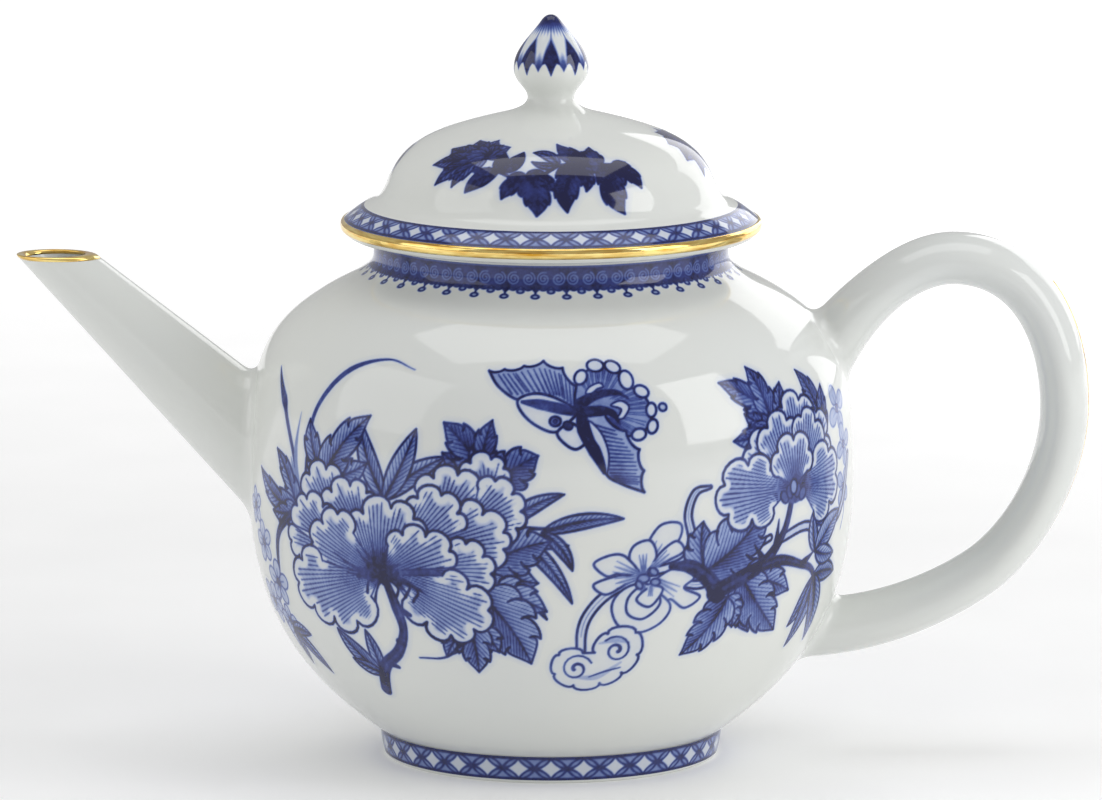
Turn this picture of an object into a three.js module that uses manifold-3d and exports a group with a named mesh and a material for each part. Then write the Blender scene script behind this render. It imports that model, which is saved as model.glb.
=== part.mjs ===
// A round, lidded porcelain teapot with a straight spout, a loop handle and gilt edges.
// Millimetres, +Z up. The origin is on the pot's axis, at the bottom of the foot ring.
// The spout points along -X and the handle along +X.
import * as THREE from 'three';
import { mergeVertices } from 'three/addons/utils/BufferGeometryUtils.js';
import Module from 'manifold-3d';

const wasm = await Module();
wasm.setup();

// ---- Driving dimensions ----

const TURNED_FLATS = 48; // flats round a piece turned on the pot's axis
const CURVE_STEPS = 5; // straight steps in each curved stretch of an outline
const FILLET_STEPS = 3; // straight steps in the bend of a root onto the pot
const BISECTIONS = 40; // halvings used to find where a side meets the pot
const JOINT_GAP = 0.3; // space left between pieces that meet on a cut face

// Pot
const WALL = 3.2;
const FLOOR_HEIGHT = 10; // inside the pot
const FLOOR_RADIUS = 38;
const FOOT_RADIUS = 41;
const FOOT_INNER_RADIUS = 36.2;
const FOOT_HEIGHT = 6.6;
const BELLY_RADIUS = 72.2;
const BELLY_HEIGHT = 67;
const SHOULDER_RADIUS = 55.8;
const SHOULDER_HEIGHT = 110.8;
const SHOULDER_INNER_RADIUS = 54.1;
const SHOULDER_INNER_HEIGHT = 108.1;
const COLLAR_RADIUS = 42.2;
const COLLAR_INNER_RADIUS = 38.8;
const COLLAR_FOOT_HEIGHT = 121;
const SEAT_HEIGHT = 124.8; // top of the collar, which carries the lid
const RIM_BEVEL = 0.8;
const DRILL_LENGTH = 20; // long enough to pass through any wall
const DRILL_FLATS = 8;

// Strainer, pierced through the pot's wall behind the spout
const STRAINER_HOLE_RADIUS = 2.2;
const STRAINER_PITCH = 6.2;
const STRAINER_OUTER_HOLES = 6;
const STRAINER_HEIGHT = 75.8;

// Spout, a straight tapered tube with a level lip
const SPOUT_TIP_RADIUS = 6.35; // across the spout, seen from the side
const SPOUT_TIP_HALF_WIDTH = 7.3; // across the spout, seen from above
const SPOUT_ROOT_RADIUS = 12.3;
const SPOUT_TIP_WALL = 1.5;
const SPOUT_ROOT_WALL = 3;
const SPOUT_LENGTH = 64.5; // along its axis, from the lip to the pot
const SPOUT_LIP_CENTRE = new THREE.Vector3(-118.9, 0, 120.5);
const SPOUT_SLOPE = THREE.MathUtils.degToRad(42.9);
const SPOUT_FLATS = 20;
const SPOUT_STEPS = 6;
const SPOUT_FILLET = 4;
const SPOUT_SEAT_RINGS = 3; // rings of faces over the spout's end at the pot
const LIP_GILDING_HEIGHT = 1;

// Handle, an oval tube bent into a loop
const HANDLE_HALF_WIDTH = 6.6; // across the handle, along Y
const HANDLE_FLATS = 16;
const HANDLE_STEPS = 30;
const HANDLE_FILLET = 3.5;
const HANDLE_SEAT_RINGS = 5; // rings of faces over each of the handle's ends
const HANDLE_LOOP = [
  [62.9, 93.1], [72.2, 109], [85.1, 119.4], [95.6, 119.4],
  [112.6, 119.4], [122.4, 104.2], [122.4, 83.5],
  [122.4, 70.5], [115.4, 54.3], [104.4, 45.1],
  [98.8, 40.5], [77.6, 27.4], [52.3, 30.6],
];
// Half the handle's thickness at equal steps along the loop, from its upper root
const HANDLE_HALF_THICKNESS = [7.9, 6.1, 6.2, 6, 5.7, 5.6, 5.9, 6.5, 7.4];

// Gilt line along the handle's back
const LINE_HALF_WIDTH = 0.8;
const LINE_THICKNESS = 0.3;
const LINE_START = 0.34; // fractions of the loop's length
const LINE_END = 0.9;
const LINE_STEPS = 20;

// Lid
const LID_BASE = SEAT_HEIGHT + JOINT_GAP;
const LID_CAVITY_RADIUS = 35.2;
const LID_CAVITY_HEIGHT = 151;
const BRIM_UNDERSIDE_RADIUS = 47.8;
const BRIM_RADIUS = 49.2;
const DOME_WAIST_RADIUS = 38.9;
const DOME_WAIST_HEIGHT = 138;
const DOME_CROWN_RADIUS = 12.2;
const DOME_CROWN_HEIGHT = 154;
const FLANGE_RADIUS = 38;
const FLANGE_BOTTOM = 115;
const GILDING_RADIUS = 50.15;
const GILDING_BOTTOM = 126.4;
const GILDING_TOP = 129;
const KNOB_NECK_RADIUS = 5.6;
const KNOB_BASE = 158;
const KNOB_RADIUS = 8.9;
const KNOB_WIDEST_HEIGHT = 165;
const KNOB_TIP_RADIUS = 2.3;
const KNOB_TIP_HEIGHT = 176.3;
const KNOB_FLATS = 24;
const TOTAL_HEIGHT = 177.7;
const VENT_RADIUS = 1.5;
const VENT_OFFSET = 17; // behind the knob, towards +Y

// ---- Materials ----

const PORCELAIN = { color: 0xe6e8e2, roughness: 0.08, metalness: 0 };
const BANDED_PORCELAIN = { color: 0x6b79b4, roughness: 0.1, metalness: 0 };
const GILT = { color: 0xd9a93a, roughness: 0.22, metalness: 1 };

function piece(name, geometry, finish) {
  const mesh = new THREE.Mesh(geometry, new THREE.MeshStandardMaterial(finish));
  mesh.name = name;
  return mesh;
}

// ---- Outlines and turned pieces ----

// Points along joined cubic curves: every curve adds two control points and an end
function curved(controls) {
  const points = [];
  for (let i = 0; i + 3 < controls.length; i += 3) {
    const ends = controls.slice(i, i + 4).map(([x, y]) => new THREE.Vector2(x, y));
    const stretch = new THREE.CubicBezierCurve(...ends).getPoints(CURVE_STEPS);
    points.push(...(i === 0 ? stretch : stretch.slice(1)));
  }
  return points;
}

function corners(...pairs) {
  return pairs.map(([radius, height]) => new THREE.Vector2(radius, height));
}

// Turns an outline of radius and height round the Z axis
function turned(outline, flats = TURNED_FLATS) {
  return new THREE.LatheGeometry(outline, flats).rotateX(Math.PI / 2);
}

function closedLoop(outline) {
  return [...outline, outline[0].clone()];
}

const bellyOutline = curved([
  [FOOT_RADIUS, FOOT_HEIGHT], [62.3, 21.6], [BELLY_RADIUS, 38], [BELLY_RADIUS, BELLY_HEIGHT],
  [BELLY_RADIUS, 95.4], [68.7, 102.5], [SHOULDER_RADIUS, SHOULDER_HEIGHT],
]);
const collarOutline = curved([
  [SHOULDER_RADIUS, SHOULDER_HEIGHT], [48.4, 115.6], [COLLAR_RADIUS, 116.5],
  [COLLAR_RADIUS, COLLAR_FOOT_HEIGHT],
]);

// ---- Cuts with solid booleans ----

function toSolid(geometry) {
  const bare = geometry.clone();
  bare.deleteAttribute('normal');
  bare.deleteAttribute('uv');
  const merged = mergeVertices(bare);
  return new wasm.Manifold(new wasm.Mesh({
    numProp: 3,
    vertProperties: new Float32Array(merged.attributes.position.array),
    triVerts: new Uint32Array(merged.index.array),
  }));
}

function toGeometry(solid) {
  const mesh = solid.getMesh();
  const geometry = new THREE.BufferGeometry();
  geometry.setAttribute('position', new THREE.BufferAttribute(mesh.vertProperties, 3));
  geometry.setIndex(new THREE.BufferAttribute(mesh.triVerts, 1));
  geometry.computeVertexNormals();
  return geometry;
}

// A cylinder along Y to cut a round hole with
function drill(radius) {
  return new THREE.CylinderGeometry(radius, radius, DRILL_LENGTH, DRILL_FLATS);
}

function withCuts(geometry, cutters) {
  const cut = cutters.reduce((solid, cutter) => solid.subtract(toSolid(cutter)), toSolid(geometry));
  return toGeometry(cut);
}

// ---- Skins over rings of points ----

function signedVolume(positions, indices) {
  const corner = (index) => new THREE.Vector3().fromArray(positions, index * 3);
  let volume = 0;
  for (let i = 0; i < indices.length; i += 3) {
    const [a, b, c] = [corner(indices[i]), corner(indices[i + 1]), corner(indices[i + 2])];
    volume += a.dot(b.cross(c)) / 6;
  }
  return volume;
}

// A closed skin over rings of equal length. Without end points the last ring joins the first
function skinned(rings, ends = null) {
  const around = rings[0].length;
  const positions = rings.flat().flatMap((point) => point.toArray());
  const indices = [];
  const bands = ends ? rings.length - 1 : rings.length;
  for (let i = 0; i < bands; i += 1) {
    const next = ((i + 1) % rings.length) * around;
    for (let j = 0; j < around; j += 1) {
      const k = (j + 1) % around;
      indices.push(i * around + j, i * around + k, next + k);
      indices.push(i * around + j, next + k, next + j);
    }
  }
  if (ends) {
    const centre = rings.length * around;
    positions.push(...ends[0].toArray(), ...ends[1].toArray());
    for (let j = 0; j < around; j += 1) {
      const k = (j + 1) % around;
      indices.push(centre, k, j);
      indices.push(centre + 1, (bands * around) + j, (bands * around) + k);
    }
  }
  if (signedVolume(positions, indices) < 0) indices.reverse();
  const geometry = new THREE.BufferGeometry();
  geometry.setAttribute('position', new THREE.Float32BufferAttribute(positions, 3));
  geometry.setIndex(indices);
  geometry.computeVertexNormals();
  return geometry;
}

// ---- Roots: how the spout and the handle spread onto the pot ----

// Radius of the pot's outside, with the joint gap, at a height
function potRadius(height) {
  const outline = [...bellyOutline, ...collarOutline.slice(1)];
  const above = Math.max(1, outline.findIndex((point) => point.y >= height));
  const [low, high] = [outline[above - 1], outline[above]];
  const fraction = (height - low.y) / (high.y - low.y);
  return THREE.MathUtils.lerp(low.x, high.x, fraction) + JOINT_GAP;
}

function onPot(point) {
  const scale = potRadius(point.z) / Math.hypot(point.x, point.y);
  return new THREE.Vector3(point.x * scale, point.y * scale, point.z);
}

function potNormal(point) {
  const rise = 0.5;
  const slope = (potRadius(point.z + rise) - potRadius(point.z - rise)) / (2 * rise);
  const outward = new THREE.Vector3(point.x, point.y, 0).normalize();
  return outward.setZ(-slope).normalize();
}

// Distance along a tube's side at which it meets the pot, between one outside and one inside
function meetingPlace(pointAt, outside, inside) {
  let [far, near] = [outside, inside];
  for (let i = 0; i < BISECTIONS; i += 1) {
    const middle = (far + near) / 2;
    const point = pointAt(middle);
    const isInside = Math.hypot(point.x, point.y) < potRadius(point.z);
    [far, near] = isInside ? [far, middle] : [middle, near];
  }
  return far;
}

// The fillet of one side of a tube: from `start` on the side it bends to lie along the pot
function filletSide(start, meeting, axisPoint, reach) {
  const normal = potNormal(meeting);
  const away = meeting.clone().sub(axisPoint);
  away.addScaledVector(normal, -away.dot(normal)).normalize();
  const foot = onPot(meeting.clone().addScaledVector(away, reach));
  const bend = new THREE.QuadraticBezierCurve3(start, meeting, foot);
  return bend.getPoints(FILLET_STEPS).slice(1);
}

// Rings from one ring to another or to a point, all lying on the pot's surface
function ringsOnPot(outer, inner, steps) {
  const rings = [];
  for (let i = 1; i < steps; i += 1) {
    rings.push(outer.map((point, j) => onPot(point.clone().lerp(inner[j], i / steps))));
  }
  return rings;
}

function transposed(columns) {
  return columns[0].map((_, i) => columns.map((column) => column[i]));
}

function angles(count) {
  return Array.from({ length: count }, (_, i) => (i / count) * 2 * Math.PI);
}

// ---- Pot ----

function potBody() {
  const inside = curved([
    [SHOULDER_INNER_RADIUS, SHOULDER_INNER_HEIGHT], [66, 100.2], [BELLY_RADIUS - WALL, 94],
    [BELLY_RADIUS - WALL, BELLY_HEIGHT],
    [BELLY_RADIUS - WALL, 39.5], [60.5, 25], [FLOOR_RADIUS, FLOOR_HEIGHT],
  ]);
  const [underside, floor] = corners([0, FOOT_HEIGHT], [0, FLOOR_HEIGHT]);
  const outline = [underside, ...bellyOutline, ...inside, floor];
  const holes = angles(STRAINER_OUTER_HOLES).map((angle) => [
    Math.cos(angle) * STRAINER_PITCH, Math.sin(angle) * STRAINER_PITCH,
  ]);
  const drills = [[0, 0], ...holes].map(([across, up]) => drill(STRAINER_HOLE_RADIUS)
    .rotateZ(Math.PI / 2)
    .translate(-BELLY_RADIUS, across, STRAINER_HEIGHT + up));
  return piece('pot_body', withCuts(turned(outline), drills), PORCELAIN);
}

function neckCollar() {
  const inside = curved([
    [COLLAR_INNER_RADIUS, 119], [COLLAR_INNER_RADIUS, 113.5], [46.5, 113],
    [SHOULDER_INNER_RADIUS, SHOULDER_INNER_HEIGHT],
  ]);
  const rim = corners(
    [COLLAR_RADIUS, SEAT_HEIGHT - RIM_BEVEL], [COLLAR_RADIUS - RIM_BEVEL, SEAT_HEIGHT],
    [COLLAR_INNER_RADIUS + RIM_BEVEL, SEAT_HEIGHT], [COLLAR_INNER_RADIUS, SEAT_HEIGHT - RIM_BEVEL],
  );
  const outline = closedLoop([...collarOutline, ...rim, ...inside]);
  return piece('neck_collar', turned(outline), BANDED_PORCELAIN);
}

function footRing() {
  const outline = corners(
    [FOOT_INNER_RADIUS, FOOT_HEIGHT], [FOOT_INNER_RADIUS + 0.4, 0.6], [FOOT_INNER_RADIUS + 1, 0],
    [FOOT_RADIUS - 1.8, 0], [FOOT_RADIUS - 1.1, 0.8], [FOOT_RADIUS - 0.3, 3.5],
    [FOOT_RADIUS, FOOT_HEIGHT],
  );
  return piece('foot_ring', turned(closedLoop(outline)), BANDED_PORCELAIN);
}

// ---- Spout ----

const spoutAxis = new THREE.Vector3(Math.cos(SPOUT_SLOPE), 0, -Math.sin(SPOUT_SLOPE));
const spoutUp = new THREE.Vector3(Math.sin(SPOUT_SLOPE), 0, Math.cos(SPOUT_SLOPE));
const acrossPot = new THREE.Vector3(0, 1, 0);

function spoutAxisPoint(distance) {
  return SPOUT_LIP_CENTRE.clone().addScaledVector(spoutAxis, distance);
}

// A point on the spout's side, at a distance from the lip's centre, `depth` walls in
function spoutPoint(angle, distance, depth) {
  const along = distance / SPOUT_LENGTH;
  const wall = THREE.MathUtils.lerp(SPOUT_TIP_WALL, SPOUT_ROOT_WALL, along) * depth;
  const tall = THREE.MathUtils.lerp(SPOUT_TIP_RADIUS, SPOUT_ROOT_RADIUS, along) - wall;
  const wide = THREE.MathUtils.lerp(SPOUT_TIP_HALF_WIDTH, SPOUT_ROOT_RADIUS, along) - wall;
  return spoutAxisPoint(distance)
    .addScaledVector(spoutUp, Math.cos(angle) * tall)
    .addScaledVector(acrossPot, Math.sin(angle) * wide);
}

// Distance along one side of the spout at which it reaches a height
function spoutDistanceAt(angle, height, depth) {
  const high = spoutPoint(angle, 0, depth).z;
  const low = spoutPoint(angle, SPOUT_LENGTH, depth).z;
  return (SPOUT_LENGTH * (high - height)) / (high - low);
}

function spoutSide(angle, top) {
  const outer = (distance) => spoutPoint(angle, distance, 0);
  const lip = spoutDistanceAt(angle, top, 0);
  const meeting = meetingPlace(outer, lip, SPOUT_LENGTH * 2);
  const start = meeting - SPOUT_FILLET;
  const side = [];
  for (let i = 0; i <= SPOUT_STEPS; i += 1) {
    side.push(outer(THREE.MathUtils.lerp(lip, start, i / SPOUT_STEPS)));
  }
  const bend = filletSide(outer(start), outer(meeting), spoutAxisPoint(meeting), SPOUT_FILLET);
  return [...side, ...bend];
}

function boreSide(angle, top) {
  const inner = (distance) => spoutPoint(angle, distance, 1);
  const lip = spoutDistanceAt(angle, top, 1);
  const meeting = meetingPlace(inner, lip, SPOUT_LENGTH * 2);
  const side = [];
  for (let i = 0; i <= SPOUT_STEPS; i += 1) {
    side.push(inner(THREE.MathUtils.lerp(meeting, lip, i / SPOUT_STEPS)));
  }
  return side;
}

function spout() {
  const top = SPOUT_LIP_CENTRE.z - LIP_GILDING_HEIGHT;
  const outside = transposed(angles(SPOUT_FLATS).map((angle) => spoutSide(angle, top)));
  const bore = transposed(angles(SPOUT_FLATS).map((angle) => boreSide(angle, top)));
  const seat = ringsOnPot(outside.at(-1), bore[0], SPOUT_SEAT_RINGS);
  return piece('spout', skinned([...outside, ...seat, ...bore]), PORCELAIN);
}

function spoutLipGilding() {
  const [top, bottom] = [SPOUT_LIP_CENTRE.z, SPOUT_LIP_CENTRE.z - LIP_GILDING_HEIGHT];
  const ring = (height, depth) => angles(SPOUT_FLATS).map(
    (angle) => spoutPoint(angle, spoutDistanceAt(angle, height, depth), depth),
  );
  const rings = [ring(bottom, 0), ring(top, 0), ring(top, 1), ring(bottom, 1)];
  return piece('spout_lip_gilding', skinned(rings), GILT);
}

// ---- Handle ----

const handlePath = new THREE.CurvePath();
for (let i = 0; i + 3 < HANDLE_LOOP.length; i += 3) {
  const ends = HANDLE_LOOP.slice(i, i + 4).map(([x, z]) => new THREE.Vector3(x, 0, z));
  handlePath.add(new THREE.CubicBezierCurve3(...ends));
}

const handleThickness = new THREE.SplineCurve(
  HANDLE_HALF_THICKNESS.map((half, i) => new THREE.Vector2(i, half)),
);

// A point on the handle's skin: angle 0 is its back, away from the loop's middle
function handlePoint(angle, along) {
  const tangent = handlePath.getTangentAt(along);
  const back = new THREE.Vector3(-tangent.z, 0, tangent.x);
  const half = handleThickness.getPoint(along).y;
  return handlePath.getPointAt(along)
    .addScaledVector(back, Math.cos(angle) * half)
    .addScaledVector(acrossPot, Math.sin(angle) * HANDLE_HALF_WIDTH);
}

function handleSide(angle) {
  const side = (along) => handlePoint(angle, along);
  const fillet = HANDLE_FILLET / handlePath.getLength();
  const upper = meetingPlace(side, 0.3, 0);
  const lower = meetingPlace(side, 0.7, 1);
  const bendAt = (meeting, start) => filletSide(
    side(start), side(meeting), handlePath.getPointAt(meeting), HANDLE_FILLET,
  );
  const run = [];
  for (let i = 0; i <= HANDLE_STEPS; i += 1) {
    run.push(side(THREE.MathUtils.lerp(upper + fillet, lower - fillet, i / HANDLE_STEPS)));
  }
  return [...bendAt(upper, upper + fillet).reverse(), ...run, ...bendAt(lower, lower - fillet)];
}

function handle() {
  const rings = transposed(angles(HANDLE_FLATS).map(handleSide));
  const seats = [rings[0], rings.at(-1)].map((edge) => {
    const sum = edge.reduce((total, point) => total.add(point), new THREE.Vector3());
    const centre = onPot(sum.divideScalar(edge.length));
    return { centre, rings: ringsOnPot(edge, edge.map(() => centre), HANDLE_SEAT_RINGS) };
  });
  const all = [...seats[0].rings.reverse(), ...rings, ...seats[1].rings];
  return piece('handle', skinned(all, seats.map((seat) => seat.centre)), PORCELAIN);
}

function handleGilding() {
  const rings = [];
  for (let i = 0; i <= LINE_STEPS; i += 1) {
    const along = THREE.MathUtils.lerp(LINE_START, LINE_END, i / LINE_STEPS);
    const tangent = handlePath.getTangentAt(along);
    const back = new THREE.Vector3(-tangent.z, 0, tangent.x);
    const surface = handlePoint(0, along).addScaledVector(back, JOINT_GAP / 2);
    rings.push([[-1, 0], [1, 0], [1, 1], [-1, 1]].map(([side, lift]) => surface.clone()
      .addScaledVector(acrossPot, side * LINE_HALF_WIDTH)
      .addScaledVector(back, lift * LINE_THICKNESS)));
  }
  const ends = [rings[0], rings.at(-1)].map((ring) => ring[0].clone().lerp(ring[2], 0.5));
  return piece('handle_gilding', skinned(rings, ends), GILT);
}

// ---- Lid ----

function lidDome() {
  const outside = curved([
    [BRIM_RADIUS, GILDING_TOP], [42.4, 135], [41.5, 131.2], [DOME_WAIST_RADIUS, DOME_WAIST_HEIGHT],
    [35.6, 146.9], [29.3, 149.7], [DOME_CROWN_RADIUS, DOME_CROWN_HEIGHT],
    [8, 155.05], [KNOB_NECK_RADIUS, 156.2], [KNOB_NECK_RADIUS, KNOB_BASE],
  ]);
  const inside = curved([
    [0, LID_CAVITY_HEIGHT], [16, LID_CAVITY_HEIGHT], [32.5, 147.5], [LID_CAVITY_RADIUS, 136.5],
  ]);
  const brim = corners(
    [LID_CAVITY_RADIUS, LID_BASE], [BRIM_UNDERSIDE_RADIUS, LID_BASE], [BRIM_RADIUS, GILDING_BOTTOM],
  );
  const outline = [...inside, ...brim, ...outside, ...corners([0, KNOB_BASE])];
  const vent = drill(VENT_RADIUS).rotateX(Math.PI / 2).translate(0, VENT_OFFSET, LID_CAVITY_HEIGHT);
  return piece('lid_dome', withCuts(turned(outline), [vent]), PORCELAIN);
}

function lidFlange() {
  const outline = corners(
    [LID_CAVITY_RADIUS, LID_BASE], [LID_CAVITY_RADIUS, FLANGE_BOTTOM + RIM_BEVEL],
    [LID_CAVITY_RADIUS + RIM_BEVEL, FLANGE_BOTTOM], [FLANGE_RADIUS - RIM_BEVEL, FLANGE_BOTTOM],
    [FLANGE_RADIUS, FLANGE_BOTTOM + RIM_BEVEL], [FLANGE_RADIUS, LID_BASE],
  );
  return piece('lid_flange', turned(closedLoop(outline)), PORCELAIN);
}

function lidKnob() {
  const outline = curved([
    [KNOB_NECK_RADIUS, KNOB_BASE], [KNOB_NECK_RADIUS, 160.5], [KNOB_RADIUS, 161.5],
    [KNOB_RADIUS, KNOB_WIDEST_HEIGHT],
    [KNOB_RADIUS, 169.5], [4.5, 173], [KNOB_TIP_RADIUS, KNOB_TIP_HEIGHT],
    [1.5, 177.4], [0.8, TOTAL_HEIGHT], [0, TOTAL_HEIGHT],
  ]);
  const base = corners([0, KNOB_BASE]);
  return piece('lid_knob', turned([...base, ...outline], KNOB_FLATS), PORCELAIN);
}

// The gilt edge is a rounded bead over the brim's rim
function lidRimGilding() {
  const middle = (GILDING_BOTTOM + GILDING_TOP) / 2;
  const outline = corners(
    [BRIM_RADIUS, GILDING_BOTTOM], [GILDING_RADIUS - 0.25, middle - 0.7], [GILDING_RADIUS, middle],
    [GILDING_RADIUS - 0.25, middle + 0.7], [BRIM_RADIUS, GILDING_TOP],
  );
  return piece('lid_rim_gilding', turned(closedLoop(outline)), GILT);
}

const pot = new THREE.Group();
pot.add(potBody(), neckCollar(), footRing(), spout(), spoutLipGilding(), handle(), handleGilding());

const lid = new THREE.Group();
lid.add(lidDome(), lidFlange(), lidKnob(), lidRimGilding());

const teapot = new THREE.Group();
teapot.add(pot, lid);
teapot.updateMatrixWorld(true);

export default teapot;
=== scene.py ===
import math

import bmesh
import bpy
import numpy as np
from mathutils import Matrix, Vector


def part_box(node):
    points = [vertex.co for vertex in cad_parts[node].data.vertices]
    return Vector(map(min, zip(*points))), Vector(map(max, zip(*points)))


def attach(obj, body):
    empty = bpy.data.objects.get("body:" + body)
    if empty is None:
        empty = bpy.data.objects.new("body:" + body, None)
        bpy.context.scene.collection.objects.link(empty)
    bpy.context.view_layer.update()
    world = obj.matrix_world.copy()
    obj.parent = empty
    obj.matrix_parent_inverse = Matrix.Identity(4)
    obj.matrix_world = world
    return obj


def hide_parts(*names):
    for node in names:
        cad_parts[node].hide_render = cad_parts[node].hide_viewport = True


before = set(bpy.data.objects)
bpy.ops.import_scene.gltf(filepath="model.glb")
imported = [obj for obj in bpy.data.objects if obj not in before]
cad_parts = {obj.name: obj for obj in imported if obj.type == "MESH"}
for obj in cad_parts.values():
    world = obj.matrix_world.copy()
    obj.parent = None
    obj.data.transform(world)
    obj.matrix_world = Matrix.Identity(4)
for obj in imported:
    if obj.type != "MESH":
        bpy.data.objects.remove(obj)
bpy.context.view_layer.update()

MM = 0.001
TURN = 2 * math.pi


def top(node, axis=2):
    """A CAD node's highest coordinate along an axis, in millimetres."""
    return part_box(node)[1][axis] / MM


def bottom(node, axis=2):
    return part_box(node)[0][axis] / MM


# ---- Driving sizes, in millimetres ----

FLATS = 256  # round every piece turned on the pot's axis
STEP = 0.8  # length of an outline's straight steps
INSIDE_STEP = 1.3
SHARP = math.radians(32)  # an edge that turns more than this stays crisp
SPOUT_SHARP = math.radians(50)  # the same on the spout

BELLY_RADIUS = top("pot_body", 1)
BELLY_HEIGHT = 67
WALL = 3.2
FOOT_RADIUS = top("foot_ring", 1)
FOOT_HEIGHT = top("foot_ring")
COLLAR_RADIUS = 42.2
COLLAR_BORE = 38.8
COLLAR_BORE_LOW = 119
SEAT_HEIGHT = top("neck_collar")
SHOULDER = (55.8, 110.8)
FLOOR = (38, 10)
RIM_ROUNDING = 0.9

STRAINER_HOLE_RADIUS = 2.2
STRAINER_PITCH = 6.2
STRAINER_HEIGHT = 75.8
VENT_RADIUS = 1.5
VENT_OFFSET = 17

SPOUT_LIP = (-118.9, top("spout_lip_gilding"))
SPOUT_SLOPE = math.radians(42.9)
SPOUT_LENGTH = 64.5
SPOUT_TIP = (6.35, 7.3)  # half the height across the tube, half the width
SPOUT_ROOT = 12.3
SPOUT_WALLS = (1.5, 3.0)  # at the lip and at the root
SPOUT_FILLET = 4.0
SPOUT_FLATS = 96
LIP_GILDING_HEIGHT = top("spout_lip_gilding") - bottom("spout_lip_gilding")

HANDLE_LOOP = [
    (62.9, 93.1), (72.2, 109), (85.1, 119.4), (95.6, 119.4),
    (112.6, 119.4), (122.4, 104.2), (122.4, 83.5),
    (122.4, 70.5), (115.4, 54.3), (104.4, 45.1),
    (98.8, 40.5), (77.6, 27.4), (52.3, 30.6),
]
HANDLE_HALF_THICKNESS = [7.9, 6.1, 6.2, 6, 5.7, 5.6, 5.9, 6.5, 7.4]
HANDLE_HALF_WIDTH = top("handle", 1)
HANDLE_FILLET = 3.5
HANDLE_FLATS = 72
GILT_LINE = (0.34, 0.9)  # fractions of the handle's length
GILT_LINE_HALF_WIDTH = 0.8
# Across the line, as a share of half its width, and how high over the handle
GILT_LINE_SECTION = [(-1, -0.2), (-1, 0.02), (-0.6, 0.12), (0, 0.16), (0.6, 0.12), (1, 0.02), (1, -0.2)]

BRIM_RADIUS = 49.2
GILDING_RADIUS = top("lid_rim_gilding", 1)
GILDING_LOW = bottom("lid_rim_gilding")
GILDING_HIGH = top("lid_rim_gilding")
LID_BASE = bottom("lid_dome")
LID_BORE = 35.2
LID_CEILING = 151
FLANGE_RADIUS = top("lid_flange", 1)
FLANGE_BOTTOM = bottom("lid_flange")
KNOB_BASE = bottom("lid_knob")
KNOB_NECK = 5.6
KNOB_RADIUS = top("lid_knob", 1)
TIP_HEIGHT = top("lid_knob")

LID_GIRTH = 36  # the lid's radius at its waist, where the sprigs start
LID_WAIST = 138
LID_SPRIGS = 3
LID_TILES = 42
KNOB_PETALS = 9
NECK_TILES = 38
FOOT_TILES = 33
LID_TRELLIS = 5.0  # height of the lattice borders
FOOT_TRELLIS = 5.3
KNOB_GIRTH_HEIGHT = 165

GLAZE_LINE = 0.6  # how high above the ground the foot is bare of glaze
PAINT_LIFT = 0.02  # how far the painted skins stand off the glaze
CELL = 0.2  # width of a painted cell
BELLY_CELL = 0.24
BARE = 0.012  # a cell with less ink than this isn't made


# ---- Curves ----

def bezier(controls, t):
    """Points at the fractions t of a line or a Bezier curve with any number of controls."""
    controls = np.asarray(controls, float)
    degree = len(controls) - 1
    t = np.asarray(t, float)[:, None]
    return sum(
        math.comb(degree, k) * t**k * (1 - t) ** (degree - k) * controls[k] for k in range(degree + 1)
    )


def lengths(points):
    """How far along a polyline each of its points is."""
    return np.concatenate([[0], np.cumsum(np.linalg.norm(np.diff(points, axis=0), axis=1))])


def outline(start, *moves, step=STEP):
    """Points of radius and height along joined lines and curves, and the normals there.

    Each move is a list of the controls that follow the last end. Where two moves meet at an angle the
    point is there twice, once with each normal, so that the edge stays crisp."""
    points, normals = [], []
    at = start
    for move in moves:
        controls = np.array([at, *move], float)
        count = max(2, round(lengths(controls)[-1] / step))
        t = np.linspace(0, 1, count + 1)
        across = bezier(np.diff(controls, axis=0), t)
        across /= np.linalg.norm(across, axis=1)[:, None]
        turned_normals = np.stack([across[:, 1], -across[:, 0]], axis=1)
        skip = 1 if normals and np.dot(normals[-1], turned_normals[0]) > 0.97 else 0
        points.extend(bezier(controls, t)[skip:])
        normals.extend(turned_normals[skip:])
        at = move[-1]
    return np.array(points), np.array(normals)


def joined(*shapes):
    """Outlines set end to end."""
    return tuple(np.concatenate(parts) for parts in zip(*shapes))


def smooth(points, closed=False, steps=8):
    """A rounded line through the points."""
    p = np.asarray(points, float)
    if closed:
        p = np.vstack([p[-1:], p, p[:2]])
    else:
        p = np.vstack([2 * p[0] - p[1], p, 2 * p[-1] - p[-2]])
    t = np.arange(steps)[:, None] / steps
    parts = [
        0.5 * (2 * b + (c - a) * t + (2 * a - 5 * b + 4 * c - d) * t**2 + (3 * b - a - 3 * c + d) * t**3)
        for a, b, c, d in zip(p[:-3], p[1:-2], p[2:-1], p[3:])
    ]
    if not closed:
        parts.append(p[-2:-1])
    return np.vstack(parts)


# ---- Meshes ----

def make_mesh(name, vertices, faces, normals=None):
    """An object from vertices in millimetres."""
    mesh = bpy.data.meshes.new(name)
    mesh.from_pydata((np.asarray(vertices) * MM).tolist(), [], faces)
    mesh.shade_smooth()
    if normals is not None:
        mesh.normals_split_custom_set_from_vertices(np.asarray(normals).tolist())
    thing = bpy.data.objects.new(name, mesh)
    bpy.context.scene.collection.objects.link(thing)
    return thing


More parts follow.
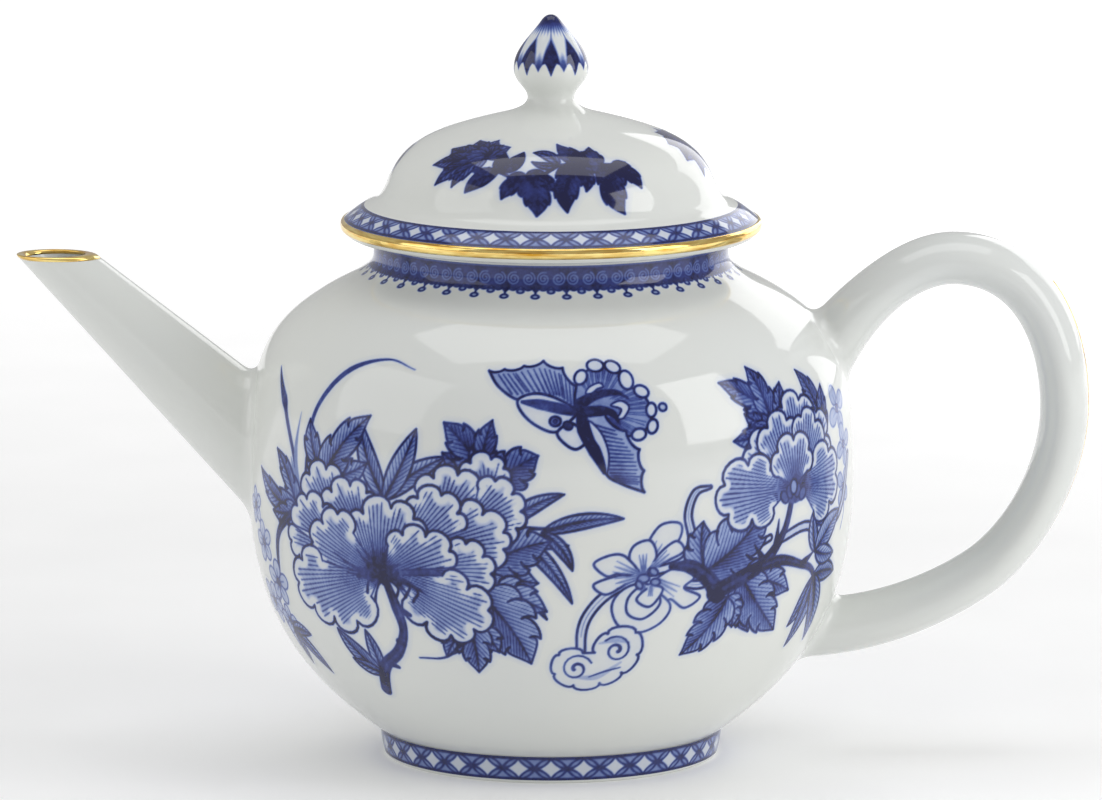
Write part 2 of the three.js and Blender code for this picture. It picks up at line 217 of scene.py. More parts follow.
def skinned(name, rings, closed=False, ends=False):
    """A skin over rings of points, which join up, end open, or close on their middles."""
    rings = np.asarray(rings)
    count, around = rings.shape[:2]
    vertices = rings.reshape(-1, 3)
    grid = np.arange(count * around).reshape(count, around)
    low, high = (grid, np.roll(grid, -1, 0)) if closed else (grid[:-1], grid[1:])
    quads = np.stack([low, np.roll(low, -1, 1), np.roll(high, -1, 1), high], axis=-1)
    faces = quads.reshape(-1, 4).tolist()
    if ends:
        vertices = np.vstack([vertices, rings[[0, -1]].mean(axis=1)])
        for middle, ring in ((grid.size, grid[0][::-1]), (grid.size + 1, grid[-1])):
            faces += [(middle, *pair) for pair in zip(ring.tolist(), np.roll(ring, -1).tolist())]
    thing = make_mesh(name, vertices, faces)
    tidy = bmesh.new()
    tidy.from_mesh(thing.data)
    bmesh.ops.recalc_face_normals(tidy, faces=tidy.faces)
    tidy.to_mesh(thing.data)
    tidy.free()
    return thing


def turned(name, shape, flats=FLATS, closed=False):
    """Turns an outline round the Z axis. One that isn't closed starts and ends on the axis."""
    angle = np.arange(flats) / flats * TURN
    spokes = np.stack([np.sin(angle), -np.cos(angle), np.zeros(flats)], axis=1)
    points = [point for point in shape[0] if point[0] > 0.01]
    if closed:
        points.insert(0, points.pop())
    rings = [
        spokes * radius + (0, 0, height)
        for i, (radius, height) in enumerate(points) if i == 0 or not np.allclose(points[i - 1], points[i])
    ]
    thing = skinned(name, rings, closed, not closed)
    thing.data.set_sharp_from_angle(angle=SHARP)
    return thing


def pierce(thing, drills):
    """Cuts round holes through a piece. Each drill is a radius, a middle and an axis."""
    cutters = bmesh.new()
    for radius, middle, axis in drills:
        made = bmesh.ops.create_cone(
            cutters, segments=32, radius1=radius * MM, radius2=radius * MM, depth=20 * MM, cap_ends=True
        )
        turn = Vector((0, 0, 1)).rotation_difference(Vector(axis)).to_matrix()
        bmesh.ops.rotate(cutters, verts=made["verts"], matrix=turn)
        bmesh.ops.translate(cutters, verts=made["verts"], vec=Vector(middle) * MM)
    mesh = bpy.data.meshes.new("drills")
    cutters.to_mesh(mesh)
    cutters.free()
    cutter = bpy.data.objects.new("drills", mesh)
    bpy.context.scene.collection.objects.link(cutter)
    cut = thing.modifiers.new("holes", "BOOLEAN")
    cut.operation = "DIFFERENCE"
    cut.solver = "EXACT"
    cut.object = cutter
    bpy.context.view_layer.update()
    pierced = bpy.data.meshes.new_from_object(thing.evaluated_get(bpy.context.evaluated_depsgraph_get()))
    thing.modifiers.clear()
    thing.data = pierced
    bpy.data.objects.remove(cutter)
    pierced.shade_smooth()
    pierced.set_sharp_from_angle(angle=SHARP)


def belongs(thing, body, slot_name, material, *nodes):
    """Gives a piece its body and its material, and hides the CAD nodes that it stands for. Its slot name is
    not used.
    """
    thing.data.materials.clear()
    thing.data.materials.append(material)
    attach(thing, body)
    if nodes:
        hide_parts(*nodes)
    return thing


# ---- Outlines of the turned pieces ----

BELLY_FOOT = (FOOT_RADIUS, FOOT_HEIGHT + 0.05)
BELLY_CURVES = [
    [(62.3, 21.6), (BELLY_RADIUS, 38), (BELLY_RADIUS, BELLY_HEIGHT)],
    [(BELLY_RADIUS, 95.4), (68.7, 102.5), SHOULDER],
    [(48.4, 115.6), (COLLAR_RADIUS, 116.5), (COLLAR_RADIUS, 121)],
    [(COLLAR_RADIUS, SEAT_HEIGHT - RIM_ROUNDING)],
]
belly_shape = outline(BELLY_FOOT, *BELLY_CURVES)


def pot_radius(height):
    return np.interp(height, belly_shape[0][:, 1], belly_shape[0][:, 0])


def pot_shape():
    """The pot with its collar, from the middle of the underside round to the middle of the floor."""
    outside = outline(
        (0, FOOT_HEIGHT),
        [(FOOT_RADIUS - 0.4, FOOT_HEIGHT)],
        [BELLY_FOOT],
        *BELLY_CURVES,
        [(COLLAR_RADIUS, SEAT_HEIGHT), (COLLAR_RADIUS - RIM_ROUNDING, SEAT_HEIGHT)],
        [(COLLAR_BORE + RIM_ROUNDING, SEAT_HEIGHT)],
        [(COLLAR_BORE, SEAT_HEIGHT), (COLLAR_BORE, SEAT_HEIGHT - RIM_ROUNDING)],
        [(COLLAR_BORE, COLLAR_BORE_LOW)],
    )
    inside = outline(
        (COLLAR_BORE, COLLAR_BORE_LOW),
        [(COLLAR_BORE, 113.5), (46.5, 113), (54.1, 108.1)],
        [(66, 100.2), (BELLY_RADIUS - WALL, 94), (BELLY_RADIUS - WALL, BELLY_HEIGHT)],
        [(BELLY_RADIUS - WALL, 39.5), (60.5, 25), FLOOR],
        [(0, FLOOR[1])],
        step=INSIDE_STEP,
    )
    return joined(outside, inside)


def foot_shape():
    inner = FOOT_RADIUS - 4.8
    return outline(
        (inner, FOOT_HEIGHT),
        [(inner + 0.3, 1.2)],
        [(inner + 0.4, 0), (inner + 1.4, 0)],
        [(FOOT_RADIUS - 2, 0)],
        [(FOOT_RADIUS - 1.1, 0), (FOOT_RADIUS - 1, 1)],
        [(FOOT_RADIUS - 0.3, 3.5), (FOOT_RADIUS - 0.25, 5), (FOOT_RADIUS, FOOT_HEIGHT)],
        [(inner, FOOT_HEIGHT)],
        step=0.4,
    )


dome_shape = outline(
    (BRIM_RADIUS, GILDING_HIGH),
    [(42.4, 135), (41.5, 131.2), (38.9, 138)],
    [(35.6, 146.9), (29.3, 149.7), (12.2, 154)],
    [(8, 155.05), (KNOB_NECK, 156.2), (KNOB_NECK, KNOB_BASE)],
    step=0.5,
)

knob_shape = outline(
    (KNOB_NECK, KNOB_BASE),
    [(KNOB_NECK, 160.5), (KNOB_RADIUS, 161.5), (KNOB_RADIUS, KNOB_GIRTH_HEIGHT)],
    [(KNOB_RADIUS, 169.5), (4.5, 173), (2.3, TIP_HEIGHT - 1.4)],
    [(1.5, TIP_HEIGHT - 0.3), (0.8, TIP_HEIGHT), (0, TIP_HEIGHT)],
    step=0.3,
)


def dome_closed_shape():
    inside = outline(
        (0, LID_CEILING),
        [(16, LID_CEILING), (32.5, 147.5), (LID_BORE, 136.5)],
        [(LID_BORE, LID_BASE)],
        [(BRIM_RADIUS - 2, LID_BASE)],
        [(BRIM_RADIUS - 0.6, LID_BASE + 0.1), (BRIM_RADIUS, GILDING_LOW)],
        [(BRIM_RADIUS, GILDING_HIGH)],
    )
    cap = outline((KNOB_NECK, KNOB_BASE), [(0, KNOB_BASE)])
    # The inside runs outwards, so its normals already point away from the porcelain
    return joined(inside, dome_shape, cap)


# ---- Shells turned on the pot's axis ----

def glazed_pot(material):
    pot = turned("glazed_pot", pot_shape())
    holes = [(0, 0)]
    for i in range(6):
        holes.append((STRAINER_PITCH * math.cos(i * TURN / 6), STRAINER_PITCH * math.sin(i * TURN / 6)))
    pierce(pot, [
        (STRAINER_HOLE_RADIUS, (-BELLY_RADIUS, across, STRAINER_HEIGHT + up), (1, 0, 0))
        for across, up in holes
    ])
    return belongs(pot, "pot", "porcelain", material, "pot_body", "neck_collar")


def foot_ring(material):
    ring = turned("foot_ring_glazed", foot_shape(), closed=True)
    return belongs(ring, "pot", "cobalt_band", material, "foot_ring")


def lid_pieces(material):
    dome = turned("lid_dome_glazed", dome_closed_shape())
    pierce(dome, [(VENT_RADIUS, (0, VENT_OFFSET, LID_CEILING), (0, 0, 1))])
    belongs(dome, "lid", "porcelain", material, "lid_dome")
    knob = joined(outline((0, KNOB_BASE), [(KNOB_NECK, KNOB_BASE)]), knob_shape)
    belongs(turned("lid_knob_glazed", knob, flats=128), "lid", "porcelain", material, "lid_knob")
    low = FLANGE_BOTTOM
    flange = outline(
        (LID_BORE, LID_BASE),
        [(LID_BORE, low + 1)],
        [(LID_BORE, low), (LID_BORE + 1, low)],
        [(FLANGE_RADIUS - 1, low)],
        [(FLANGE_RADIUS, low), (FLANGE_RADIUS, low + 1)],
        [(FLANGE_RADIUS, LID_BASE)],
        [(LID_BORE, LID_BASE)],
    )
    ring = turned("lid_flange_glazed", flange, closed=True)
    belongs(ring, "lid", "porcelain", material, "lid_flange")


# ---- Spout and handle ----

SPOUT_AXIS = np.array([math.cos(SPOUT_SLOPE), 0, -math.sin(SPOUT_SLOPE)])
SPOUT_UP = np.array([math.sin(SPOUT_SLOPE), 0, math.cos(SPOUT_SLOPE)])
ACROSS = np.array([0, 1.0, 0])


def on_pot(point, lift=0.0):
    """The place on the pot's surface level with a point, as far out as `lift` says."""
    scale = (pot_radius(point[2]) + lift) / math.hypot(point[0], point[1])
    return np.array([point[0] * scale, point[1] * scale, point[2]])


def pot_normal(point):
    slope = (pot_radius(point[2] + 0.5) - pot_radius(point[2] - 0.5))
    normal = np.array([*(np.array(point[:2]) / math.hypot(point[0], point[1])), -slope])
    return normal / np.linalg.norm(normal)


def meeting_place(point_at, outside, inside):
    """The distance along a tube's side at which it meets the pot."""
    for _ in range(40):
        middle = (outside + inside) / 2
        x, y, z = point_at(middle)
        if math.hypot(x, y) < pot_radius(z):
            inside = middle
        else:
            outside = middle
    return outside


def fillet(start, meeting, axis_point, reach, steps=12):
    """A side's bend from `start` to lie along the pot. Its end goes just under the glaze."""
    normal = pot_normal(meeting)
    away = meeting - axis_point
    away -= normal * away.dot(normal)
    away /= np.linalg.norm(away)
    foot = on_pot(meeting + away * reach, -0.04)
    bend = bezier([start, on_pot(meeting, -0.02), foot], np.linspace(0, 1, steps + 1))
    sunk = on_pot(foot + away * 0.6, -0.6)
    return [*bend[1:], sunk]


def spout_point(angle, distance, depth=0.0):
    along = distance / SPOUT_LENGTH
    wall = (SPOUT_WALLS[0] + (SPOUT_WALLS[1] - SPOUT_WALLS[0]) * along) * depth
    tall = SPOUT_TIP[0] + (SPOUT_ROOT - SPOUT_TIP[0]) * along - wall
    wide = SPOUT_TIP[1] + (SPOUT_ROOT - SPOUT_TIP[1]) * along - wall
    middle = np.array([SPOUT_LIP[0], 0, SPOUT_LIP[1]]) + SPOUT_AXIS * distance
    return middle + SPOUT_UP * (math.cos(angle) * tall) + ACROSS * (math.sin(angle) * wide)


def spout_distance_at(angle, height, depth=0.0):
    """How far down one side of the spout a height is reached."""
    high = spout_point(angle, 0, depth)[2]
    low = spout_point(angle, SPOUT_LENGTH, depth)[2]
    return SPOUT_LENGTH * (high - height) / (high - low)


def spout(material):
    level = SPOUT_LIP[1] - LIP_GILDING_HEIGHT
    sides = []
    for angle in np.arange(SPOUT_FLATS) / SPOUT_FLATS * TURN:
        lip = spout_distance_at(angle, level)
        meet = meeting_place(lambda d: spout_point(angle, d), lip, SPOUT_LENGTH * 2)
        start = meet - SPOUT_FILLET
        side = [spout_point(angle, d) for d in np.linspace(lip, start, 60)]
        middle = (spout_point(0, meet) + spout_point(math.pi, meet)) / 2
        side += fillet(side[-1], spout_point(angle, meet), middle, SPOUT_FILLET)
        bore_lip = spout_distance_at(angle, level, 1)
        bore_meet = meeting_place(lambda d: spout_point(angle, d, 1), bore_lip, SPOUT_LENGTH * 2)
        side += [spout_point(angle, d, 1) for d in np.linspace(bore_meet + 0.3, bore_lip, 50)]
        sides.append(side)
    tube = skinned("spout_glazed", np.swapaxes(np.array(sides), 0, 1), closed=True)
    tube.data.set_sharp_from_angle(angle=SPOUT_SHARP)
    return belongs(tube, "pot", "porcelain", material, "spout")


def spout_gilding(material):
    high = SPOUT_LIP[1]
    low = high - LIP_GILDING_HEIGHT
    rim = LIP_GILDING_HEIGHT * 0.55
    # Height and depth into the wall, round the bead from its outer foot to its inner foot
    bead = np.vstack([
        [(low, -0.03)],
        bezier([(high - rim, -0.04), (high, -0.04), (high, 0.5)], np.linspace(0, 1, 7)),
        bezier([(high, 0.5), (high, 1.02), (high - rim, 1.02)], np.linspace(0, 1, 7))[1:],
        [(low, 1.02)],
    ])
    rings = [[
        spout_point(angle, spout_distance_at(angle, height, depth), depth)
        for angle in np.arange(SPOUT_FLATS) / SPOUT_FLATS * TURN
    ] for height, depth in bead]
    ring = skinned("spout_lip_gold", rings, closed=True)
    return belongs(ring, "pot", "gilding", material, "spout_lip_gilding")


loop_points = np.vstack([
    bezier(HANDLE_LOOP[i:i + 4], np.linspace(0, 1, 201))[(1 if i else 0):]
    for i in range(0, len(HANDLE_LOOP) - 1, 3)
])
loop_length = lengths(loop_points)
loop_along = loop_length / loop_length[-1]


def loop_at(along):
    """The handle's centre, its direction and its outward side at a fraction of its length."""
    spot = np.array([np.interp(along, loop_along, loop_points[:, k]) for k in (0, 1)])
    near = [
        [np.interp(np.clip(along + d, 0, 1), loop_along, loop_points[:, k]) for k in (0, 1)]
        for d in (-0.004, 0.004)
    ]
    forward = np.subtract(near[1], near[0])
    forward /= np.linalg.norm(forward)
    return np.array([spot[0], 0, spot[1]]), np.array([-forward[1], 0, forward[0]])


thickness_line = smooth(list(enumerate(HANDLE_HALF_THICKNESS)))


def half_thickness(along):
    return np.interp(along * (len(HANDLE_HALF_THICKNESS) - 1), *thickness_line.T)


def handle_point(angle, along):
    centre, back = loop_at(along)
    return (
        centre + back * (math.cos(angle) * half_thickness(along))
        + ACROSS * (math.sin(angle) * HANDLE_HALF_WIDTH)
    )


def handle(material):
    reach = HANDLE_FILLET / loop_length[-1]
    sides = []
    for angle in np.arange(HANDLE_FLATS) / HANDLE_FLATS * TURN:
        def side_at(along, angle=angle):
            return handle_point(angle, along)
        high = meeting_place(side_at, 0.3, 0)
        low = meeting_place(side_at, 0.7, 1)
        upper = fillet(side_at(high + reach), side_at(high), loop_at(high)[0], HANDLE_FILLET)
        lower = fillet(side_at(low - reach), side_at(low), loop_at(low)[0], HANDLE_FILLET)
        run = [side_at(along) for along in np.linspace(high + reach, low - reach, 180)]
        sides.append([*upper[::-1], *run, *lower])
    loop = skinned("handle_glazed", np.swapaxes(np.array(sides), 0, 1), ends=True)
    return belongs(loop, "pot", "porcelain", material, "handle")


def handle_gilding(material):
    """A line of gold leaf along the back, thickest in its middle, with pointed ends."""
    rings = []
    for along in np.linspace(*GILT_LINE, 160):
        _, back = loop_at(along)
        fade = min(along - GILT_LINE[0], GILT_LINE[1] - along) / 0.04
        half = GILT_LINE_HALF_WIDTH * min(1, math.sqrt(max(fade, 0.02)))
        section = []
        for side, lift in GILT_LINE_SECTION:
            angle = side * half / HANDLE_HALF_WIDTH
            section.append(handle_point(angle, along) + back * lift)
        rings.append(section)
    line = skinned("handle_gold", rings, ends=True)
    return belongs(line, "pot", "gilding", material, "handle_gilding")


def lid_gilding(material):
    middle = (GILDING_LOW + GILDING_HIGH) / 2
    half = (GILDING_HIGH - GILDING_LOW) / 2
    bead = outline(
        (BRIM_RADIUS - 0.2, GILDING_LOW),
        [(BRIM_RADIUS, GILDING_LOW)],
        [(GILDING_RADIUS, middle - half * 0.9), (GILDING_RADIUS, middle)],
        [(GILDING_RADIUS, middle + half * 0.9), (BRIM_RADIUS, GILDING_HIGH + 0.02)],
        [(BRIM_RADIUS - 0.2, GILDING_HIGH)],
        [(BRIM_RADIUS - 0.2, GILDING_LOW)],
        step=0.15,
    )
    ring = turned("lid_rim_gold", bead, closed=True)
    return belongs(ring, "lid", "gilding", material, "lid_rim_gilding")


# ---- Materials ----

def colour(red, green, blue):
    """Linear light from the 0 to 255 values that a screen shows."""
    def linear(value):
        value /= 255
        return value / 12.92 if value <= 0.04045 else ((value + 0.055) / 1.055) ** 2.4
    return (linear(red), linear(green), linear(blue), 1)


class Material:
    """A node material, with short calls for the nodes that it is made of."""

    def __init__(self, name):
        self.data = bpy.data.materials.new(name)
        self.data.use_nodes = True
        self.nodes = self.data.node_tree.nodes
        self.link = self.data.node_tree.links.new
        self.shader = self.nodes["Principled BSDF"].inputs
        self.place = self.node("TexCoord", "Object")

    def node(self, kind, output, operation=None, **inputs):
        """A node whose inputs, by name with _ for a space, are set to values or linked to other outputs."""
        made = self.nodes.new("ShaderNode" + kind)
        if operation:
            made.operation = operation
        for name, value in inputs.items():
            socket = made.inputs[name.replace("_", " ")]
            if isinstance(value, bpy.types.NodeSocket):
                self.link(value, socket)
            else:
                socket.default_value = value
        return made.outputs[output]

    def noise(self, scale, detail=2.0, roughness=0.5, source=None):
        return self.node(
            "TexNoise", "Fac", Scale=scale, Detail=detail, Roughness=roughness, Vector=source or self.place
        )

    def spread(self, source, low, high, from_low=0.3, from_high=0.7):
        """Stretches a value over a new range."""
        return self.node(
            "MapRange", "Result", Value=source, From_Min=from_low, From_Max=from_high, To_Min=low, To_Max=high
        )

    def combine(self, operation, first, second):
        result = self.node("Math", "Value", operation)
        self.link(first, result.node.inputs[0])
        self.link(second, result.node.inputs[1])
        return result

    def ramp(self, source, stops):
        result = self.node("ValToRGB", "Color", Fac=source)
        band = result.node.color_ramp.elements
        while len(band) < len(stops):
            band.new(0.5)
        for element, (position, *shade) in zip(band, stops):
            element.position = position
            element.color = colour(*shade)
        return result

    def ripple(self, scale, detail, strength, depth):
        """Makes the surface a little uneven. The depth is in metres."""
        height = self.noise(scale, detail)
        bump = self.node("Bump", "Normal", Strength=strength, Distance=depth, Height=height)
        self.link(bump, self.shader["Normal"])


def glaze_material():
    """Clear glaze over porcelain, with cobalt where the mesh says that there is ink."""
    glaze = Material("glazed_porcelain")
    painted_ink = glaze.node("Attribute", "Fac")
    painted_ink.node.attribute_name = "ink"
    ink = glaze.combine("MULTIPLY", painted_ink, glaze.spread(glaze.noise(900, 3, 0.6), 0.9, 1.1))
    tone = glaze.combine("ADD", ink, glaze.spread(glaze.noise(14), 0.015, 0))
    shade = glaze.ramp(tone, [
        (0, 222, 224, 219), (0.1, 190, 198, 216), (0.28, 134, 151, 196), (0.5, 76, 96, 160),
        (0.72, 42, 54, 124), (1, 8, 10, 62),
    ])
    glaze.link(shade, glaze.shader["Base Color"])
    smears = glaze.spread(glaze.noise(45, 4, 0.6), 0.05, 0.085)
    # The foot's edge is wiped bare of glaze before firing
    height = glaze.node("SeparateXYZ", "Z", Vector=glaze.place)
    bare = glaze.spread(height, 0.6, 0, GLAZE_LINE * 0.6 * MM, GLAZE_LINE * MM)
    glaze.link(glaze.combine("ADD", smears, bare), glaze.shader["Roughness"])
    glaze.shader["IOR"].default_value = 1.52
    glaze.ripple(55, 1, 0.1, 0.0004)
    return glaze.data


def gilding_material():
    """Burnished gold leaf: bright, its colour streaked level with lighter and darker gold, which are painted
    reflections.
    """
    gold = Material("burnished_gold")
    # Painted reflections: noise stretched round the ring makes level light and dark streaks in the gold's
    # colour
    drawn_out = gold.node("Mapping", "Vector", Vector=gold.place, Scale=(0.12, 0.12, 1))
    reflection_streaks = gold.noise(900, 3, 0.6, drawn_out)
    gold.link(gold.ramp(reflection_streaks, [(0.3, 206, 150, 46), (0.62, 255, 230, 150)]), gold.shader["Base Color"])
    gold.link(gold.spread(gold.noise(700), 0.05, 0.13), gold.shader["Roughness"])
    gold.shader["Metallic"].default_value = 1
    gold.ripple(220, 2, 0.25, 0.0002)
    return gold.data


# ---- Brushes ----

LINE = 0.6  # width of a drawn outline
OUTLINE = 1.0  # how dark inks are, from 0, bare, to 1
SHADE = 0.72
TINT = 0.36
PALE = 0.03


def scallops(notches, centre, bulge):
    """Round lobes from notch to notch, outwards from the centre, or inwards where bulge is negative."""
    notches = np.asarray(notches, float)
    line = [notches[:1]]
    for a, b in zip(notches[:-1], notches[1:]):
        along = b - a
        out = np.array([along[1], -along[0]])
        out *= math.copysign(bulge, out.dot((a + b) / 2 - centre) * bulge)
        swell = along * (0.08 if bulge > 0 else -0.2)
        lobe = [a, a + out - swell, b + out + swell, b]
        line.append(bezier(lobe, np.linspace(0, 1, 9))[1:])
    return np.vstack(line)


def segment_distance(x, y, start, end):
    """How far each cell is from a straight line, and how far along it, from 0 to 1."""
    (ax, ay), (bx, by) = start, end
    dx, dy = bx - ax, by - ay
    t = np.clip(((x - ax) * dx + (y - ay) * dy) / max(dx * dx + dy * dy, 1e-9), 0, 1)
    return np.hypot(x - ax - t * dx, y - ay - t * dy), t


def line_distance(x, y, line):
    return np.minimum.reduce([segment_distance(x, y, *ends)[0] for ends in zip(line[:-1], line[1:])])


def ease(value, low, high):
    """0 below low, 1 above high, and a soft step between."""
    t = np.clip((value - low) / (high - low), 0, 1)
    return t * t * (3 - 2 * t)


class Sheet:
    """A patch of painted surface in millimetres. Its ink runs from 0, bare, to 1, the darkest blue."""

    def __init__(self, left, low, right, high, cell=CELL):
        self.cell = cell
        self.x = np.linspace(left, right, round((right - left) / cell) + 1)
        self.y = np.linspace(low, high, round((high - low) / cell) + 1)
        self.ink = np.zeros((len(self.y), len(self.x)))
        self.random = np.random.default_rng(7)

    def window(self, points, margin):
        """The part of the sheet round some points, and where its cells are."""
        low = np.min(points, axis=0) - margin
        high = np.max(points, axis=0) + margin
        across = slice(*np.searchsorted(self.x, (low[0], high[0])))
        up = slice(*np.searchsorted(self.y, (low[1], high[1])))
        x, y = np.meshgrid(self.x[across], self.y[up])
        return (up, across), x, y

    def lay(self, part, cover, tone):
        """Thick paint, which hides what is under it."""
        self.ink[part] += cover * (tone - self.ink[part])

    def stroke(self, points, widths=(LINE,), tone=OUTLINE):
        """A brush line, whose width runs through the given widths from its start to its end."""
        points = np.asarray(points, float)
        share = np.linspace(0, 1, len(points))
        radii = np.interp(share, np.linspace(0, 1, len(widths)), widths) / 2
        margin = radii.max() + self.cell
        far = np.full(self.ink.shape, np.inf)
        for i in range(len(points) - 1):
            part, x, y = self.window(points[i:i + 2], margin)
            away, t = segment_distance(x, y, *points[i:i + 2])
            far[part] = np.minimum(far[part], away - radii[i] - t * (radii[i + 1] - radii[i]))
        part, _, _ = self.window(points, margin)
        self.lay(part, np.clip(0.5 - far[part] / self.cell, 0, 1), tone)

    def line(self, points, widths=(LINE,), tone=OUTLINE):
        """A stroke rounded through the points."""
        self.stroke(smooth(points), widths, tone)

    def area(self, edge):
        """The window round a closed edge, its cells' places, how deep inside they are and how covered."""
        edge = np.vstack([edge, edge[:1]])
        part, x, y = self.window(edge, 2 * self.cell)
        inside = np.zeros(x.shape, bool)
        for (ax, ay), (bx, by) in zip(edge[:-1], edge[1:]):
            if ay != by:
                inside ^= ((ay > y) != (by > y)) & (x < (bx - ax) * (y - ay) / (by - ay) + ax)
        depth = line_distance(x, y, edge) * np.where(inside, 1, -1)
        return part, x, y, depth, np.clip(0.5 + depth / self.cell, 0, 1)

    def patch(self, edge, tone=PALE, line=LINE, ink=OUTLINE):
        """A filled shape with an outline."""
        part, _, _, _, cover = self.area(edge)
        self.lay(part, cover, tone)
        if line:
            self.stroke(np.vstack([edge, edge[:1]]), (line,), ink)

    def shape(self, points, tone=PALE, line=LINE, ink=OUTLINE):
        """A patch rounded through the points."""
        self.patch(smooth(points, True), tone, line, ink)

    def hatch(self, start, end, count, widths=(0.3, 0.15), tone=SHADE, stop=1.0):
        """Lines from one line to another, evenly spaced and a little uneven in length."""
        start, end = smooth(start), smooth(end)
        for place in (np.arange(count) + 0.5) / count:
            a = start[round(place * (len(start) - 1))]
            b = end[round(place * (len(end) - 1))]
            self.stroke([a, a + (b - a) * stop * self.random.uniform(0.85, 1)], widths, tone)

    def finish(self, halo=0.15):
        """Softens the ink as glaze does: a little blur, a pale haze round it and an uneven wash."""
        self.ink = blurred(self.ink, 0.12 / self.cell)
        haze = blurred(self.ink, 1.1 / self.cell) * halo
        self.ink = 1 - (1 - self.ink) * (1 - haze)
        for size, strength in ((0.5, 0.03), (1.8, 0.07)):
            grain = blurred(self.random.standard_normal(self.ink.shape), size / self.cell)
            self.ink *= 1 + strength * grain / grain.std()
        return self


def blurred(values, radius):
    """A Gaussian blur."""
    reach = max(1, math.ceil(2.5 * radius))
    weights = np.exp(-0.5 * (np.arange(-reach, reach + 1) / radius) ** 2)
    weights /= weights.sum()
    padded = np.pad(values, reach)
    padded = sum(w * padded[i:i + values.shape[0]] for i, w in enumerate(weights))
    return sum(w * padded[:, i:i + values.shape[1]] for i, w in enumerate(weights))


# ---- What the brushes paint ----

def petal(sheet, base, notches, border=1.7, depth=0.9, pitch=0.82, bulge=0.6):
    """A petal with a scalloped white rim: dark at its base, with fine lines that run out from there."""
    base = np.asarray(base, float)
    rim = scallops(notches, base, bulge)
    part, x, y, _, cover = sheet.area(np.vstack([rim, base[None]]))
    from_rim = line_distance(x, y, rim)
    from_base = np.hypot(x - base[0], y - base[1])
    out = from_base / (from_base + from_rim + 1e-6)
    # The lines fan out from a place behind the base, so that they don't all meet in it
    middle = np.mean(notches, axis=0) - base
    fan = base - middle * 0.45
    angle = np.arctan2(y - fan[1], x - fan[0]) - math.atan2(middle[1], middle[0])
    angle = (angle + math.pi) % TURN - math.pi
    rays = angle * np.hypot(*middle) * 1.2 / pitch
    number = np.floor(rays).astype(int)
    ends = sheet.random.uniform(0.45, 1.6, 400)[number % 400]
    ray = 1 - ease(np.abs(rays - number - 0.5) * 2, 0.3 - 0.2 * out, 0.65 - 0.2 * out)
    wash = depth * (0.2 + 0.62 * (1 - ease(out, 0, 0.8))) * ease(from_rim, border, border * 1.7) + 0.015
    line = ray * ease(from_rim, border * ends, border * ends + 0.5) * (1 - 0.25 * out)
    tone = wash + line * np.maximum(0.92 - wash, 0)
    sheet.lay(part, cover, np.clip(tone, 0, 1))
    sheet.stroke(rim, (0.5, 0.7, 0.55, 0.75, 0.55))
    for side in (rim[0], rim[-1]):
        sheet.stroke([side, base + (side - base) * 0.15], (0.4, 0.35), SHADE + 0.1)


def lobed_edge(lobes):
    """Half a leaf's edge, as places along its rib and shares of its half width, with hooked lobes or none."""
    if not lobes:
        t = np.linspace(0, 1, 41)
        return np.stack([t, 2.2 * t**0.6 * (1 - t)**0.9], axis=1)
    step = 0.72 / (lobes + 0.15)
    edge = [(0.0, 0.0)]
    swell = 0.0
    for k in range(1, lobes + 1):
        place = k * step
        wide = 2.3 * place**0.5 * (1 - place) ** 0.9
        notch = edge[-1]
        hook = (place + min(0.4 * step, 0.07), wide)
        bulge = [(notch[0] - 0.1 * step, wide * 1.1), (place - 0.25 * step, wide * 1.32)]
        edge.extend(bezier([notch, *bulge, hook], np.linspace(0, 1, 11))[1:])
        swell = (place + 0.03 * step, wide * 0.56)
        edge.extend(bezier([hook, (place - 0.02 * step, wide * 0.85), swell], np.linspace(0, 1, 5))[1:])
    edge.extend(bezier([swell, (swell[0] + 0.04, wide * 1.15), (0.84, 0.35), (1.0, 0.0)],
                       np.linspace(0, 1, 11))[1:])
    return np.array(edge)


